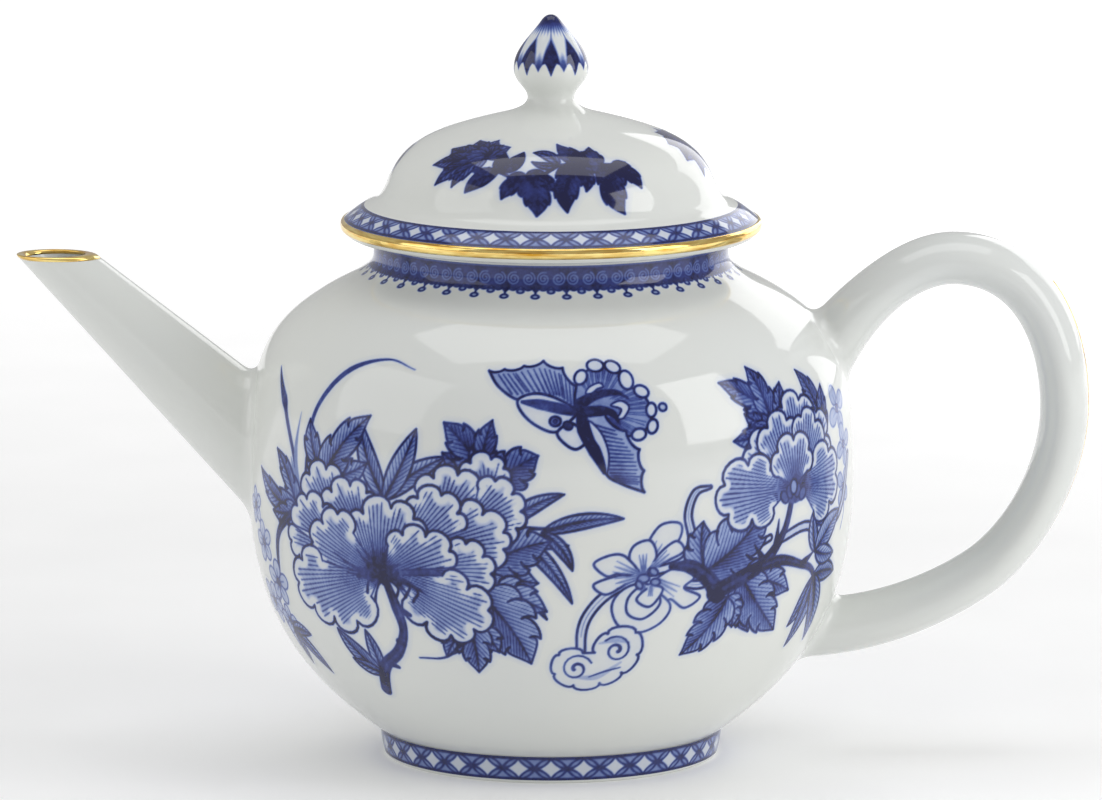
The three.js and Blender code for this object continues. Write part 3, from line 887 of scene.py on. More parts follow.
def leaf(sheet, root, tip, width, bend=0.0, teeth=0, tone=TINT, pitch=0.75):
    """A pointed leaf, its edge cut into hooked lobes or plain, with a midrib and fine side veins."""
    root, tip = np.array(root, float), np.array(tip, float)
    along = tip - root
    size = np.hypot(*along)
    along /= size
    side = np.array([-along[1], along[0]])
    t = np.linspace(0, 1, 61)
    rib = bezier([root, (root + tip) / 2 + side * bend * size * 2, tip], t)
    ahead = np.gradient(rib, axis=0)
    ahead /= np.hypot(ahead[:, 0], ahead[:, 1])[:, None]
    shares = lobed_edge(teeth)
    middle = np.stack([np.interp(shares[:, 0], t, rib[:, k]) for k in (0, 1)], axis=1)
    forward = np.stack([np.interp(shares[:, 0], t, ahead[:, k]) for k in (0, 1)], axis=1)
    out = np.stack([-forward[:, 1], forward[:, 0]], axis=1) * (shares[:, 1] * width / 2)[:, None]
    lean = forward * (shares[:, 1] * width * 0.1 * (1 - shares[:, 0]))[:, None]
    left, right = middle + out + lean, middle - out + lean
    part, x, y, deep, cover = sheet.area(np.vstack([left, right[::-1]]))
    from_rib = line_distance(x, y, rib)
    progress = ((x - root[0]) * along[0] + (y - root[1]) * along[1]) / size
    across = (x - root[0]) * side[0] + (y - root[1]) * side[1]
    upper = across > 4 * bend * size * progress * (1 - progress)
    veins = (progress * size - from_rib * np.where(upper, 1.4, 1.8)) / (pitch * 2.1)
    vein = 1 - ease(np.abs(veins % 1 - 0.5) * 2, 0.1, 0.65 - 0.3 * np.clip(2.5 * from_rib / width, 0, 1))
    paler_edge = 1 - 0.6 * (1 - tone) * (1 - ease(deep, 0.2, 1.3))
    wash = tone * np.where(upper, 0.45 + 0.45 * tone, 1.05) * paler_edge
    wash = wash + 0.4 * np.exp(-from_rib / (0.1 * width)) * (1.1 - progress)
    shade = wash + vein * 0.42 * ease(deep, 0, 0.4)
    sheet.lay(part, cover, np.clip(shade, 0, 0.96))
    sheet.stroke(left, (0.45, 0.65, 0.45))
    sheet.stroke(right, (0.45, 0.65, 0.45))
    sheet.stroke(rib, (0.9, 0.6, 0.35))


def leaves(sheet, root, tips, **style):
    """Several leaves from one root: each tip is x, y, width and bend."""
    for x, y, width, bend in tips:
        leaf(sheet, root, (x, y), width, bend, **style)


def ribbon(sheet, points, widths, tone=PALE):
    """A flat band with a dark line down each side."""
    line = smooth(points)
    sheet.stroke(line, widths)
    sheet.stroke(line, [max(width - 2 * LINE, 0.1) for width in widths], tone)


def branch(sheet, points, widths, tone=0.97):
    """A dark bough, mottled, with a lighter edge."""
    line = smooth(points)
    sheet.stroke(line, widths, tone)
    sheet.stroke(line[2:-2] + (0.12 * max(widths), 0.1), [width * 0.25 for width in widths], tone - 0.17)


def spiral(centre, radius, turns, start=0.0, inner=0.15):
    """A line that winds in towards its centre."""
    t = np.linspace(0, 1, max(12, round(abs(turns) * 18)))
    angle = start + turns * TURN * t
    reach = radius * (1 - (1 - inner) * t)
    return np.stack([centre[0] + reach * np.cos(angle), centre[1] + reach * np.sin(angle)], axis=1)


def oval(centre, wide, tall, tilt=0.0):
    t = np.arange(16) / 16 * TURN
    x, y = np.cos(t) * wide / 2, np.sin(t) * tall / 2
    c, s = math.cos(tilt), math.sin(tilt)
    return np.stack([centre[0] + x * c - y * s, centre[1] + x * s + y * c], axis=1)


# ---- The motifs, in millimetres from the front's middle and from the belly's widest level ----

def grasses(sheet):
    sheet.line([(-67, 2), (-66, 14), (-64, 24), (-56, 34), (-45, 38), (-36, 36)],
               (0.9, 1.1, 1.2, 1.5, 0.5, 0.2), SHADE)
    sheet.line([(-69, 2), (-72, 12), (-77, 21), (-79, 24), (-86, 31)], (0.9, 1.2, 1.4, 2.6, 0.2), SHADE + 0.1)
    sheet.line([(-69, 4), (-71, 12), (-70, 22)], (0.9, 1.6, 0.2), TINT)
    sheet.line([(-68, 2), (-71, 7), (-73, 11)], (0.8, 1.6, 0.3), TINT)
    leaves(sheet, (-41, 5), [(-49, 23, 6.5, 0.05), (-25, 16, 6, 0.05), (-33, 22, 7, -0.03)], tone=0.3)
    leaves(sheet, (-60, 8), [(-66, 21, 7, 0.08), (-46, 13, 8, -0.07), (-46, 24, 9, 0.05)], teeth=2)
    leaves(sheet, (-70, -1), [(-80, 12, 6, -0.07), (-90, 6, 6.5, 0.1), (-82, -3, 6, 0.07)], teeth=2)
    branch(sheet, [(-69, -1), (-75, -4), (-80, -9), (-82, -18)], (1.2, 2.6, 1.8, 1.2))


def bamboo(sheet):
    root = (-11, 0)
    leaves(sheet, root, [
        (3, 8, 4.5, 0.08), (4, -4, 4, -0.06), (5, -18, 4.5, 0.08), (-1, -22, 4, -0.05),
    ], tone=0.36, pitch=0.6)
    leaves(sheet, (-2, -1), [(17, 2, 4.4, 0.06), (5, -10, 3.6, 0.1)], tone=0.4, pitch=0.6)
    sheet.line([root, (-4, 0), (3, 0)], (1.4, 0.9, 0.4))


def peony_leaves(sheet):
    leaves(sheet, (-15, -9), [(-3, -13, 9, -0.06), (0, -3, 12, 0.06)], teeth=3)
    leaves(sheet, (-17, -16), [(-1, -20, 10, 0.08), (-15, -31, 10, -0.08), (-5, -34, 15, 0.06)], teeth=3)
    leaves(sheet, (-20, -24), [(-13, -31, 8, 0.1), (-27, -33, 7, -0.06), (-19, -37, 9, 0.04)], teeth=2)
    sheet.line([(-21, -27), (-27, -33), (-35, -34)], (1.0, 0.6, 0.3))
    leaves(sheet, (-49, -40), [(-50, -28, 5, -0.05), (-60, -29, 6.5, 0.05), (-58, -37, 4.5, 0.05)], tone=0.36)


def bud(sheet):
    dark = {"teeth": 2, "tone": 0.58}
    leaves(sheet, (-16, 13), [(-26, 17, 7, 0.08), (-26, 24, 9, -0.05), (-14, 25, 6.5, 0.06)], **dark)
    leaf(sheet, (-12, 11), (-3, 17), 10, 0.05, **dark)
    petal(sheet, (-15, 8), [(-21, 12), (-19, 15), (-14, 16), (-11, 14), (-11, 10)], depth=0.95)


PEONY_PETALS = [  # each has its base, and then the notches of its rim; those behind come first
    ((-55, -2), [(-67, 3), (-65, 8), (-59, 10), (-54, 8), (-54, 4)]),
    ((-48, -3), [(-60, 2), (-57, 5), (-51, 7), (-46, 6), (-44, 2)]),
    ((-56, -7), [(-71, -5), (-70, 0), (-66, 2), (-60, 1), (-56, -2)]),
    ((-56, -10), [(-72, -5), (-73, -9), (-70, -12), (-64, -13)]),
    ((-26, 2), [(-32, 7), (-28, 11), (-22, 12), (-17, 9), (-16, 5)]),
    ((-19, 0), [(-17, 9), (-13, 11), (-9, 8), (-7, 4), (-8, 0), (-12, -3)]),
    ((-29, -5), [(-26, 3), (-21, 5), (-16, 3), (-11, -1), (-11, -5), (-15, -9)]),
    ((-36, -7), [(-34, 1), (-32, 6), (-26, 7), (-22, 3), (-21, -1)]),
    ((-30, -10), [(-24, -5), (-20, -4), (-16, -7), (-14, -11), (-17, -15)]),
    ((-42, -12), [(-51, -4), (-47, 1), (-39, 3), (-33, 1), (-32, -6)]),
    ((-43, -13), [(-61, -13), (-64, -8), (-60, -3), (-55, 0), (-50, -4)]),
    ((-43, -14), [(-61, -12), (-69, -13), (-72, -19), (-67, -24), (-60, -26), (-52, -26), (-46, -19)]),
    ((-40, -13), [(-26, -12), (-20, -15), (-15, -20), (-19, -25), (-25, -27), (-31, -24), (-36, -18)]),
    ((-41, -12), [(-40, -6), (-36, -3), (-30, -3), (-24, -6), (-24, -10)]),
]


def peony(sheet):
    sheet.patch(oval((-37, -7), 50, 15), 0.66, 0)
    for base, notches in PEONY_PETALS:
        petal(sheet, base, notches)
    heart = np.array([-42.0, -13.0])
    for angle, size in ((2.9, 15), (3.2, 11), (2.5, 9), (1.9, 8), (1.3, 7), (0.5, 6), (-0.35, 13), (-0.6, 9)):
        ahead = np.array([math.cos(angle), math.sin(angle)]) * size
        bow = np.array([-ahead[1], ahead[0]]) * 0.08
        sheet.line([heart, heart + ahead * 0.5 + bow, heart + ahead], (2.6, 1.1, 0.2), 0.84)
    for _ in range(60):
        dot = heart + sheet.random.normal(0, (2.2, 1.3))
        sheet.stroke([dot, dot + (0.1, 0.1)], (sheet.random.uniform(0.6, 1.6),), 0.98)
    for x, y in ((-47, -18), (-45, -20), (-39, -19), (-36, -18), (-34, -19)):
        sheet.line([heart, (x + 1, y + 3), (x, y)], (0.9, 0.5, 0.9))
    branch(sheet, [(-41, -15), (-39, -21), (-38, -27), (-41, -33), (-47, -38), (-51, -46)],
           (2.0, 2.8, 2.3, 3.0, 3.4, 3.4))
    for knob in ((-40, -30), (-37, -22), (-44, -37)):
        sheet.stroke([knob, (knob[0] + 1.6, knob[1] - 0.6)], (1.8, 1.0), 0.98)


def blossom(sheet, x, y, size, petals=5, tone=0.16, ink=SHADE):
    """A small open flower, lightly drawn."""
    for i in range(petals):
        angle = i * TURN / petals + x
        place = (x + size * 0.75 * math.cos(angle), y + size * 0.75 * math.sin(angle))
        sheet.patch(oval(place, size, size * 0.85, angle), tone, 0.4, ink)
        sheet.stroke([(x, y), place], (0.6, 0.2), ink * 0.8)
    sheet.patch(oval((x, y), size * 0.4, size * 0.4), ink, 0.3)


def side_flowers(sheet):
    """Small pale blossoms towards the spout, with a few leaves."""
    branch(sheet, [(-82, -17), (-85, -22), (-88, -30), (-86, -38)], (1.2, 1.0, 0.8, 0.6), SHADE)
    for x, y, size in ((-90, -12, 4.2), (-84, -21, 4.6), (-92, -27, 4.6), (-84, -31, 3.6), (-95, -4, 3.6)):
        blossom(sheet, x, y, size)
    leaves(sheet, (-84, -33), [(-73, -44, 5, 0.08), (-74, -33, 4.5, 0.06), (-84, -43, 4, 0.05)], tone=0.42)


def butterfly(sheet):
    fore = scallops([(-16, 37), (-12, 37.5), (-7, 38.5), (-2, 40), (3, 38), (7, 33)], (0, 28), -0.2)
    low = smooth([(7, 33), (6, 28), (1, 30.5), (-4, 31.5), (-8, 30), (-13, 33), (-16, 37)])
    sheet.patch(np.vstack([fore, low[1:-1]]), 0.2)
    sheet.hatch([(-14, 36), (-9, 36.5), (-3, 37.8), (2, 36.5), (6, 32.5)],
                [(-10, 31), (-5, 31.5), (0, 31), (3, 30), (6, 28)], 17, (0.3, 0.55))
    eye = [(-8, 30), (-7, 27), (-3.5, 24), (1, 22.5), (4.5, 25), (6, 27.5), (1, 30.5), (-4, 31.5)]
    eye = smooth(eye, True)
    sheet.patch(eye, 0.03)
    sheet.line([(-7, 29.5), (-3, 29), (2, 28), (6, 27)], (0.8, 2.4, 2.6, 1.8), SHADE + 0.1)
    sheet.shape([(1.5, 22.5), (3, 20), (6, 18.5), (8.5, 21), (5, 24.5)], 0.03)
    sheet.patch(oval((1, 25), 2.6, 2.2), 0.3)
    sheet.patch(oval((1, 25), 1.0, 0.9), SHADE, 0.3)
    sheet.patch(oval((4, 24), 2.4, 2.0, -0.4), SHADE, 0.3)
    # The far pair of wings: two fans edged with white eyes
    fans = smooth([(6, 28), (6.5, 34), (9, 37), (13, 38), (17, 36.5), (19.5, 33), (23, 30.5), (24.5, 26),
                   (22, 22), (16, 21.5), (10, 25)], True)
    sheet.patch(fans, 0.3)
    sheet.hatch([(7, 34), (10, 37), (14, 37.5), (18, 35)], [(9, 31), (10.5, 32), (12.5, 32), (14, 31)], 17)
    sheet.hatch([(19, 33), (22, 30), (24, 27), (21, 22), (17, 22)],
                [(14, 30), (16, 29), (16, 27), (14, 26), (13, 26)], 22)
    sheet.line([(7, 29), (11, 31), (16, 31.5), (19, 30)], (2.8, 2.2, 1.4, 0.4), 0.9)
    sheet.line([(8, 27), (12, 27.5), (15, 26.5), (16.5, 24)], (2.6, 2.0, 1.6, 0.4), 0.9)
    sheet.shape([(8.5, 31.5), (9.5, 33), (12, 34), (13, 33), (11.5, 32.5), (10, 31.5)], 0.03, 0.35)
    sheet.shape([(14.5, 28.5), (17, 29.5), (19, 28), (17.5, 25.5), (16, 25.5), (17, 27.5)], 0.03, 0.35)
    eyes = [(7.5, 35.5, 4, 1.0), (11.5, 38.5, 4.4, 0), (16, 38, 4.2, -0.5), (19, 34.5, 4.8, 1.7),
            (22.5, 31.5, 3.8, -0.4), (24.5, 27, 3.4, 1.4), (24.5, 23.2, 3.4, 1.2), (21, 21.5, 3.6, 0.2)]
    for x, y, size, tilt in eyes:
        sheet.patch(oval((x, y), size, size * 0.75, tilt), 0.03, 0.55)
    sheet.patch(oval((27.5, 27.5), 2.0, 1.8), 0.15, 0.5)
    hind = np.vstack([
        smooth([(7, 26), (11, 22), (13, 17), (13, 12.5), (17, 10), (22, 8)]),
        scallops([(22, 8), (22, 13), (21, 18), (18, 22.5), (13, 26.5)], (10, 16), -0.2)[1:],
    ])
    sheet.patch(hind, 0.2)
    sheet.hatch([(9, 25), (12, 20), (13.5, 16), (14, 12.5), (16, 10.5)],
                [(15, 23), (18, 19), (20.5, 15.5), (21, 12), (21, 9.5)], 16, (0.55, 0.3))
    sheet.line([(7, 27.5), (8, 23), (10.5, 18), (12.5, 13)], (2.0, 3.6, 3.4, 1.0), 0.98)
    sheet.shape([(9, 25), (12, 22), (13.6, 17), (13, 12.5), (12.4, 15.5), (11.4, 18.5), (10, 21)], 0.05, 0.35)


def knot(sheet):
    """A tied ribbon whose tail ends in a cloud scroll."""
    line = {"ink": 0.82}
    for points, widths in (
        ([(24, -11), (32, -9), (34, -4), (33, 2), (35, 7), (39, 8)], (2.4, 2.8, 2.6, 2.4, 2.2, 1.2)),
        ([(28, -13), (36, -15), (42, -13), (48, -9), (57, -6)], (2.0, 2.6, 2.6, 2.4, 2.0)),
        ([(21, -12.5), (14, -15.5), (9.5, -20), (7.5, -25), (7.5, -32)], (2.6, 2.8, 2.8, 2.8, 2.6)),
    ):
        ribbon(sheet, points, widths)
        sheet.stroke(smooth(points)[6:-6], (0.25,), TINT)
    lobes = [
        [(22, -11), (22.5, -5), (26, 0), (31, 0), (30.5, -4), (25, -9)],
        [(22, -11), (18.5, -8), (19.5, -4.5), (23.5, -3.5), (25, -7.5)],
        [(24, -10), (28, -8.5), (32, -6.5), (30, -4), (26, -6.5)],
        [(21, -11.5), (17.5, -7), (14, -6.5), (10, -8.5), (13, -11.5), (16, -11)],
        [(21, -12), (16, -11.5), (10, -13.5), (13, -16), (18, -13.5)],
        [(25, -13), (30, -10.5), (35, -13), (32.5, -15.5), (37, -18), (33, -20.5), (29, -18), (27, -20.5),
         (25, -16)],
        [(22, -14), (17, -15), (14.5, -19), (16.5, -24), (22, -26), (27.5, -23.5), (29, -19)],
        [(22, -14), (18.5, -17), (18.5, -21), (22.5, -22.5), (26.5, -19), (25, -15)],
        [(24, -14.5), (20.5, -17.5), (24, -19.5), (27, -15.5)],
    ]
    for lobe in lobes:
        sheet.shape(lobe, 0.02, 0.55, **line)
        inward = np.mean(lobe, axis=0) - lobe[0]
        sheet.stroke([lobe[0] + inward * 0.2, lobe[0] + inward * 0.95], (1.9, 0.5), 0.16)
        for lean in (-0.22, 0, 0.22):
            side = np.array([-inward[1], inward[0]]) * lean
            sheet.stroke([lobe[0] + side * 0.3, lobe[0] + inward * 1.05 + side], (0.5, 0.2), 0.5)
    for x, y, size in ((22, -12.5, 3.0), (24.5, -11, 2.4), (21, -14, 2.2), (25, -13.5, 2.4)):
        sheet.patch(oval((x, y), size, size * 0.7, x), 0.3, 0.5, **line)
    cloud_edge = scallops([(8, -31), (2, -31.5), (1, -37), (6, -40.5), (13, -40), (18.5, -37), (22, -32),
                           (21, -26), (14, -26), (11, -31)], (11, -34), 0.35)
    sheet.patch(cloud_edge, 0.02, 0.6, **line)
    sheet.line([(6, -38), (12, -38), (18, -34)], (0.8, 1.8, 0.6), 0.2)
    sheet.line([(12, -28.5), (16, -27.8), (19.5, -28.5)], (0.5, 1.4, 0.5), 0.2)
    sheet.stroke(spiral((16.5, -30.5), 4.0, -1.5, 2.4), (0.45, 0.5, 1.0), 0.82)
    sheet.stroke(spiral((6.5, -35.5), 4.2, 1.5, 0.4), (0.45, 0.5, 1.0), 0.82)
    sheet.line([(10, -38), (14, -36.5), (18, -35.5)], (0.3, 0.5, 0.3), 0.82)


def flowering_branch(sheet):
    ribbon(sheet, [(60, -7), (70, -5), (79, -7), (90, -4), (97, 8)], (2.4, 2.6, 2.6, 2.4, 2.0), 0.08)
    leaves(sheet, (38, -12), [(37, 0, 9, 0.08), (56, 2, 15, -0.05)], teeth=3)
    leaves(sheet, (49, -15), [(54, -29, 9, -0.06), (66, -20, 10, 0.05), (64, -30, 12, -0.03)], teeth=3)
    leaves(sheet, (45, -19), [(48, -27, 7, 0.06), (34, -33, 10, 0.06)], teeth=3)
    lowest = [(70, -30, 5.5, 0.05), (90, -19, 6, 0.05), (73, -36, 6, 0.05), (84, -36, 7, 0.05)]
    leaves(sheet, (77, -18), lowest, tone=0.34)
    leaves(sheet, (76, -12), [(74, -2, 5, 0.08), (89, -4, 8, 0.05), (87, -14, 6, -0.05)], tone=0.26)
    branch(sheet, [(29, -10), (34, -10.5), (39, -14), (42, -18)], (1.6, 3.4, 4.0, 4.4))
    branch(sheet, [(41, -17.5), (49, -14.5), (56, -11.5), (62, -5), (65, 3)], (4.4, 4.0, 3.2, 2.0, 1.8))
    branch(sheet, [(53, -13), (61, -12), (69, -14), (76, -17), (81, -26)], (2.6, 2.8, 2.0, 1.6, 1.0))
    for thorn in (((55, -11), (52, -7)), ((59, -9), (60, -2)), ((71, -14), (75, -12))):
        sheet.stroke(thorn, (2.2, 0.3), 0.95)
    dark = {"teeth": 2, "tone": 0.52}
    leaves(sheet, (58, 23), [(50, 25, 6, -0.05), (44, 32, 7, -0.06), (54, 35, 7, -0.04)], **dark)
    leaves(sheet, (58, 20), [(50, 24, 5, 0.05), (46, 18, 6, 0.06)], **dark)
    leaf(sheet, (62, 22), (64, 30), 5, 0.05, **dark)
    leaves(sheet, (80, 16), [(72, 32, 7, -0.05), (82, 27, 6, 0.05)], **dark)


SECOND_PEONY_PETALS = [
    ((67, 13), [(61, 19), (63, 24), (70, 25), (75, 19)]),
    ((60, 9), [(51, 10), (51, 16), (56, 19), (59, 14)]),
    ((73, 9), [(72, 18), (77, 21), (81, 15), (80, 8)]),
    ((63, 8), [(55, 14), (57, 20), (64, 21), (67, 15)]),
    ((70, 9), [(67, 16), (70, 21), (76, 19), (78, 12)]),
    ((64, 5), [(57, 10), (50, 12), (43, 8), (44, 1), (51, -1), (58, 1)]),
    ((68, 5), [(74, 10), (82, 11), (86, 5), (82, -1), (74, -2)]),
    ((66, 5), [(60, 8), (60, 14), (66, 16), (72, 13), (71, 8)]),
]


def second_peony(sheet):
    sheet.patch(oval((66, 9), 20, 16), 0.66, 0)
    for base, notches in SECOND_PEONY_PETALS:
        petal(sheet, base, notches, border=1.2, depth=0.95, pitch=0.75)
    for x, y in ((62, 3), (64, 4), (67, 4), (69, 3)):
        sheet.patch(oval((x, y), 2.4, 3.4, 0.2 * (65.5 - x)), 0.6, 0.4)
    sheet.patch(oval((65.5, 5), 2.6, 3.6), 0.25, 0.5)


def far_flowers(sheet):
    """Pale blossoms towards the handle."""
    for x, y, size in ((90, 20, 5), (93, 11, 4.4), (92, 1, 4)):
        blossom(sheet, x, y, size, 4, 0.2, 0.5)
        sheet.line([(x, y - 2), (x + 1, y - 6), (x - 1, y - 10)], (0.6, 0.5), TINT)


def trellis(sheet, width, height, arch):
    """One tile of a border: four leaf shapes cross in its middle, between two dark lines."""
    sheet.ink[:] = 0.36
    for shift in (-width, 0, width):
        diamond = [(shift + width / 2, -height * 0.4), (shift + width * 0.8, 0),
                   (shift + width / 2, height * 0.4), (shift + width * 0.2, 0)]
        sheet.patch(np.array(diamond), 0.07, 0)
    for shift in (-width, 0, width):
        for right, up in ((1, 1), (1, -1), (-1, 1), (-1, -1)):
            end = np.array([right * width / 2, up * height / 2])
            out = np.array([-end[1], end[0]]) / np.hypot(*end) * arch
            steps = np.linspace(0, 1, 9)
            bows = [bezier([(0, 0), end / 2 + bow, end], steps) + (shift, 0) for bow in (out, -out)]
            sheet.patch(np.vstack([bows[0], bows[1][-2:0:-1]]), TINT, 0)
            for line in bows:
                sheet.stroke(line, (0.7, 0.4, 0.5), 0.88)
        sheet.patch(oval((shift, 0), 1.5, 1.2), 0.9, 0)
    for edge in (-height / 2, height / 2):
        sheet.stroke([(-width, edge), (width, edge)], (0.7,), 0.95)


def lid_lattice(sheet, width):
    trellis(sheet, width, LID_TRELLIS, 1.3)


def foot_lattice(sheet, width):
    trellis(sheet, width, FOOT_TRELLIS, 1.2)


def pendants(sheet, pitch):
    """One tile of the neck's border: a dark wash with two light spirals, a pendant and a ring."""
    x, y = np.meshgrid(sheet.x, sheet.y)
    lower = -5.2 - 0.7 * np.abs(np.sin(x / pitch * TURN))
    sheet.ink[:] = np.where((y > lower) & (y < -0.5), 0.84 + 0.08 * np.cos(x / pitch * TURN), 0)
    sheet.ink[y >= -0.5] = 0.6
    sheet.stroke([(-pitch, -0.6), (pitch, -0.6)], (0.35,), 0.9)
    for shift in (-pitch, 0, pitch):
        for side in (-1, 1):
            middle = (shift + side * pitch / 4, -3.1)
            sheet.stroke(spiral(middle, 1.6, side * 2.0, 1.2), (0.36,), 0.4)
            rim = smooth([(shift, -4.9), (shift + side * pitch / 4, -6), (shift + side * pitch / 2, -4.9)])
            sheet.stroke(rim, (0.4,), 0.9)
        sheet.patch(np.array([(shift - 1.5, -5), (shift + 1.5, -5), (shift, -6.8)]), 0.92, 0)
        sheet.stroke([(shift, -6), (shift, -7.2)], (0.5,), 0.92)
        sheet.patch(oval((shift, -7.9), 1.6, 1.3), 0.3, 0.5, 0.92)
        sheet.patch(oval((shift + pitch / 2, -6.2), 1.5, 1.2), 0.3, 0.5, 0.85)


def bud_petals(sheet, pitch):
    """One tile of the knob: a white petal with a blue tip, between the halves of two dark ones."""
    x, y = np.meshgrid(sheet.x, sheet.y)
    high = sheet.y[-1]
    away = np.abs(x) / pitch
    low = 2.0 * np.sin(TURN * np.minimum(away, 0.5 - away)) - 0.9 * ease(away, 0.25, 0.5)
    height = np.clip((y - low) / (high - low), 0, 1)
    edge = 0.14 + 0.36 * np.clip(height / 0.55, 0, 1) ** 1.2
    white = ease(edge - away, -0.03, 0.03)
    streaks = 0.5 + 0.5 * np.cos(x / pitch * TURN * 4)
    fade = (1 - ease(y, 1.0, 4.6 + 1.2 * streaks)) * 0.72
    cap = ease(y, high - 6.5 - 1.5 * streaks, high - 2.5)
    petal_ink = np.maximum(np.maximum(fade, cap * 0.92), 0.03)
    rim = ease(away - edge, -0.1, -0.03) * 0.3
    ink = white * np.maximum(petal_ink, rim) + (1 - white) * np.maximum(0.95, cap * 0.92)
    sheet.ink[:] = np.where(y > low, ink, 0)


def sprig(sheet):
    """A lid sprig: nearly solid dark leaves on a thin stem, and a feathery bloom at its left end."""
    stem = smooth([(-16, 9), (-12, 7.5), (-7, 6), (-2, 7.5), (3, 10.5), (10, 9.8), (20, 10.5)])
    sheet.stroke(stem, (0.6, 0.8, 1.0, 0.9, 0.3))
    dark = {"tone": 0.94, "pitch": 0.9}
    leaves(sheet, (-18, 12), [
        (-13, 17, 6, 0.08), (-19, 20, 7, 0.1), (-26, 19, 8, 0.06), (-32, 14, 8, 0.0), (-33, 8, 7, -0.05),
        (-29, 3, 6, -0.1), (-24, 3, 4.5, -0.1),
    ], teeth=2, tone=0.7)
    sheet.line([(-20, 9), (-17, 8.5), (-14, 8.5)], (0.4, 0.7, 0.4))
    leaves(sheet, (-13, 8), [(-20, 2, 5, -0.1), (-20, 8, 3, 0.06)], **dark)
    leaves(sheet, (-12, 8), [(-13, 14, 5, 0.1), (-8, 15, 5, -0.08)], **dark)
    leaves(sheet, (-6, 7), [(1, 3, 4.5, 0.12), (-11, 1, 4.5, -0.1), (-3, -3, 7, 0.12)], teeth=2, **dark)
    leaves(sheet, (2, 10.5), [(-5, 15, 4, -0.16), (-5, 11.5, 2.5, 0.12)], tone=0.6)
    leaves(sheet, (13, 10), [(2, 19, 7, 0.12), (12, 17, 5, 0.12)], teeth=2, **dark)
    leaves(sheet, (7, 10.5), [(3.5, -2, 6.5, -0.12), (8, 3, 4, 0.14)], teeth=2, **dark)
    leaves(sheet, (16, 10), [(16, -3, 7, -0.14), (21.5, 3, 4.5, 0.12)], teeth=2, **dark)
    sheet.stroke(stem, (0.5, 0.6, 0.8, 0.7, 0.3))


# ---- Painted skins on the turned surfaces ----

class Surface:
    """A turned piece's outside, unrolled: x runs round it from the front, and y up along its outline."""

    def __init__(self, shape, girth, zero):
        self.points, self.normals = shape
        self.girth = girth
        self.along = lengths(self.points)
        self.along -= np.interp(zero, self.points[:, 1], self.along)

    def place(self, x, y):
        angle = x / self.girth
        radius, height = (np.interp(y, self.along, self.points[:, k]) for k in (0, 1))
        out, up = (np.interp(y, self.along, self.normals[:, k]) for k in (0, 1))
        across, ahead = np.sin(angle), -np.cos(angle)
        points = np.stack([across * radius, ahead * radius, height], axis=1)
        return points, np.stack([across * out, ahead * out, up], axis=1)


def painted(name, sheet, surface, shift=0.0, mirror=False):
    """The cells of a sheet that hold ink, laid over a surface as one skin that carries the ink."""
    ink = sheet.ink
    wet = np.maximum.reduce([ink[:-1, :-1], ink[1:, :-1], ink[:-1, 1:], ink[1:, 1:]]) > BARE
    rows, columns = np.nonzero(wet)
    width = ink.shape[1]
    corner = rows * width + columns
    quads = np.stack([corner, corner + 1, corner + width + 1, corner + width], axis=1)
    used, quads = np.unique(quads, return_inverse=True)
    quads = quads.reshape(-1, 4)
    x = sheet.x[used % width]
    if mirror:
        x = -x
        quads = quads[:, ::-1]
    points, normals = surface.place(x + shift, sheet.y[used // width])
    thing = make_mesh(name, points + normals * PAINT_LIFT, quads.tolist(), normals)
    attribute = thing.data.attributes.new("ink", "FLOAT", "POINT")
    attribute.data.foreach_set("value", ink.ravel()[used].astype(np.float32))
    return thing


def border(name, brush, surface, repeats, span, start, soft, cell=CELL):
    """A tile repeated right round a surface, painted from span[0] to span[1] above its own middle line.

    The middle line lies `start` up the surface. The tile is softened so that it still meets itself."""
    width = surface.girth * TURN / repeats
    tile = Sheet(-width / 2, span[0], width / 2, span[1], cell)
    brush(tile, width)
    tripled = np.hstack([tile.ink[:, :-1]] * 3 + [tile.ink[:, :1]])
    steps = len(tile.x) - 1
    once = blurred(tripled, soft)[:, steps:2 * steps + 1]
    tile.x = np.linspace(0, surface.girth * TURN, repeats * steps + 1)
    tile.y = tile.y + start
    tile.ink = np.hstack([np.tile(once[:, :-1], repeats), once[:, :1]])
    return painted(name, tile, surface)


def belly_painting(material):
    surface = Surface(belly_shape, BELLY_RADIUS, BELLY_HEIGHT)
    motifs = {
        "peony": ((-100, -50, 20, 42), (grasses, bamboo, peony_leaves, bud, peony, side_flowers)),
        "butterfly": ((-19, 5, 32, 44), (butterfly,)),
        "branch": ((-2, -44, 102, 40), (knot, far_flowers, flowering_branch, second_peony)),
    }
    half_round = math.pi * BELLY_RADIUS
    for name, (area, brushes) in motifs.items():
        sheet = Sheet(*area, BELLY_CELL)
        for brush in brushes:
            brush(sheet)
        sheet.finish()
        for side, shift, mirror in (("front", 0, False), ("back", half_round, True)):
            skin = painted(f"painting_{name}_{side}", sheet, surface, shift, mirror)
            belongs(skin, "pot", "porcelain", material)


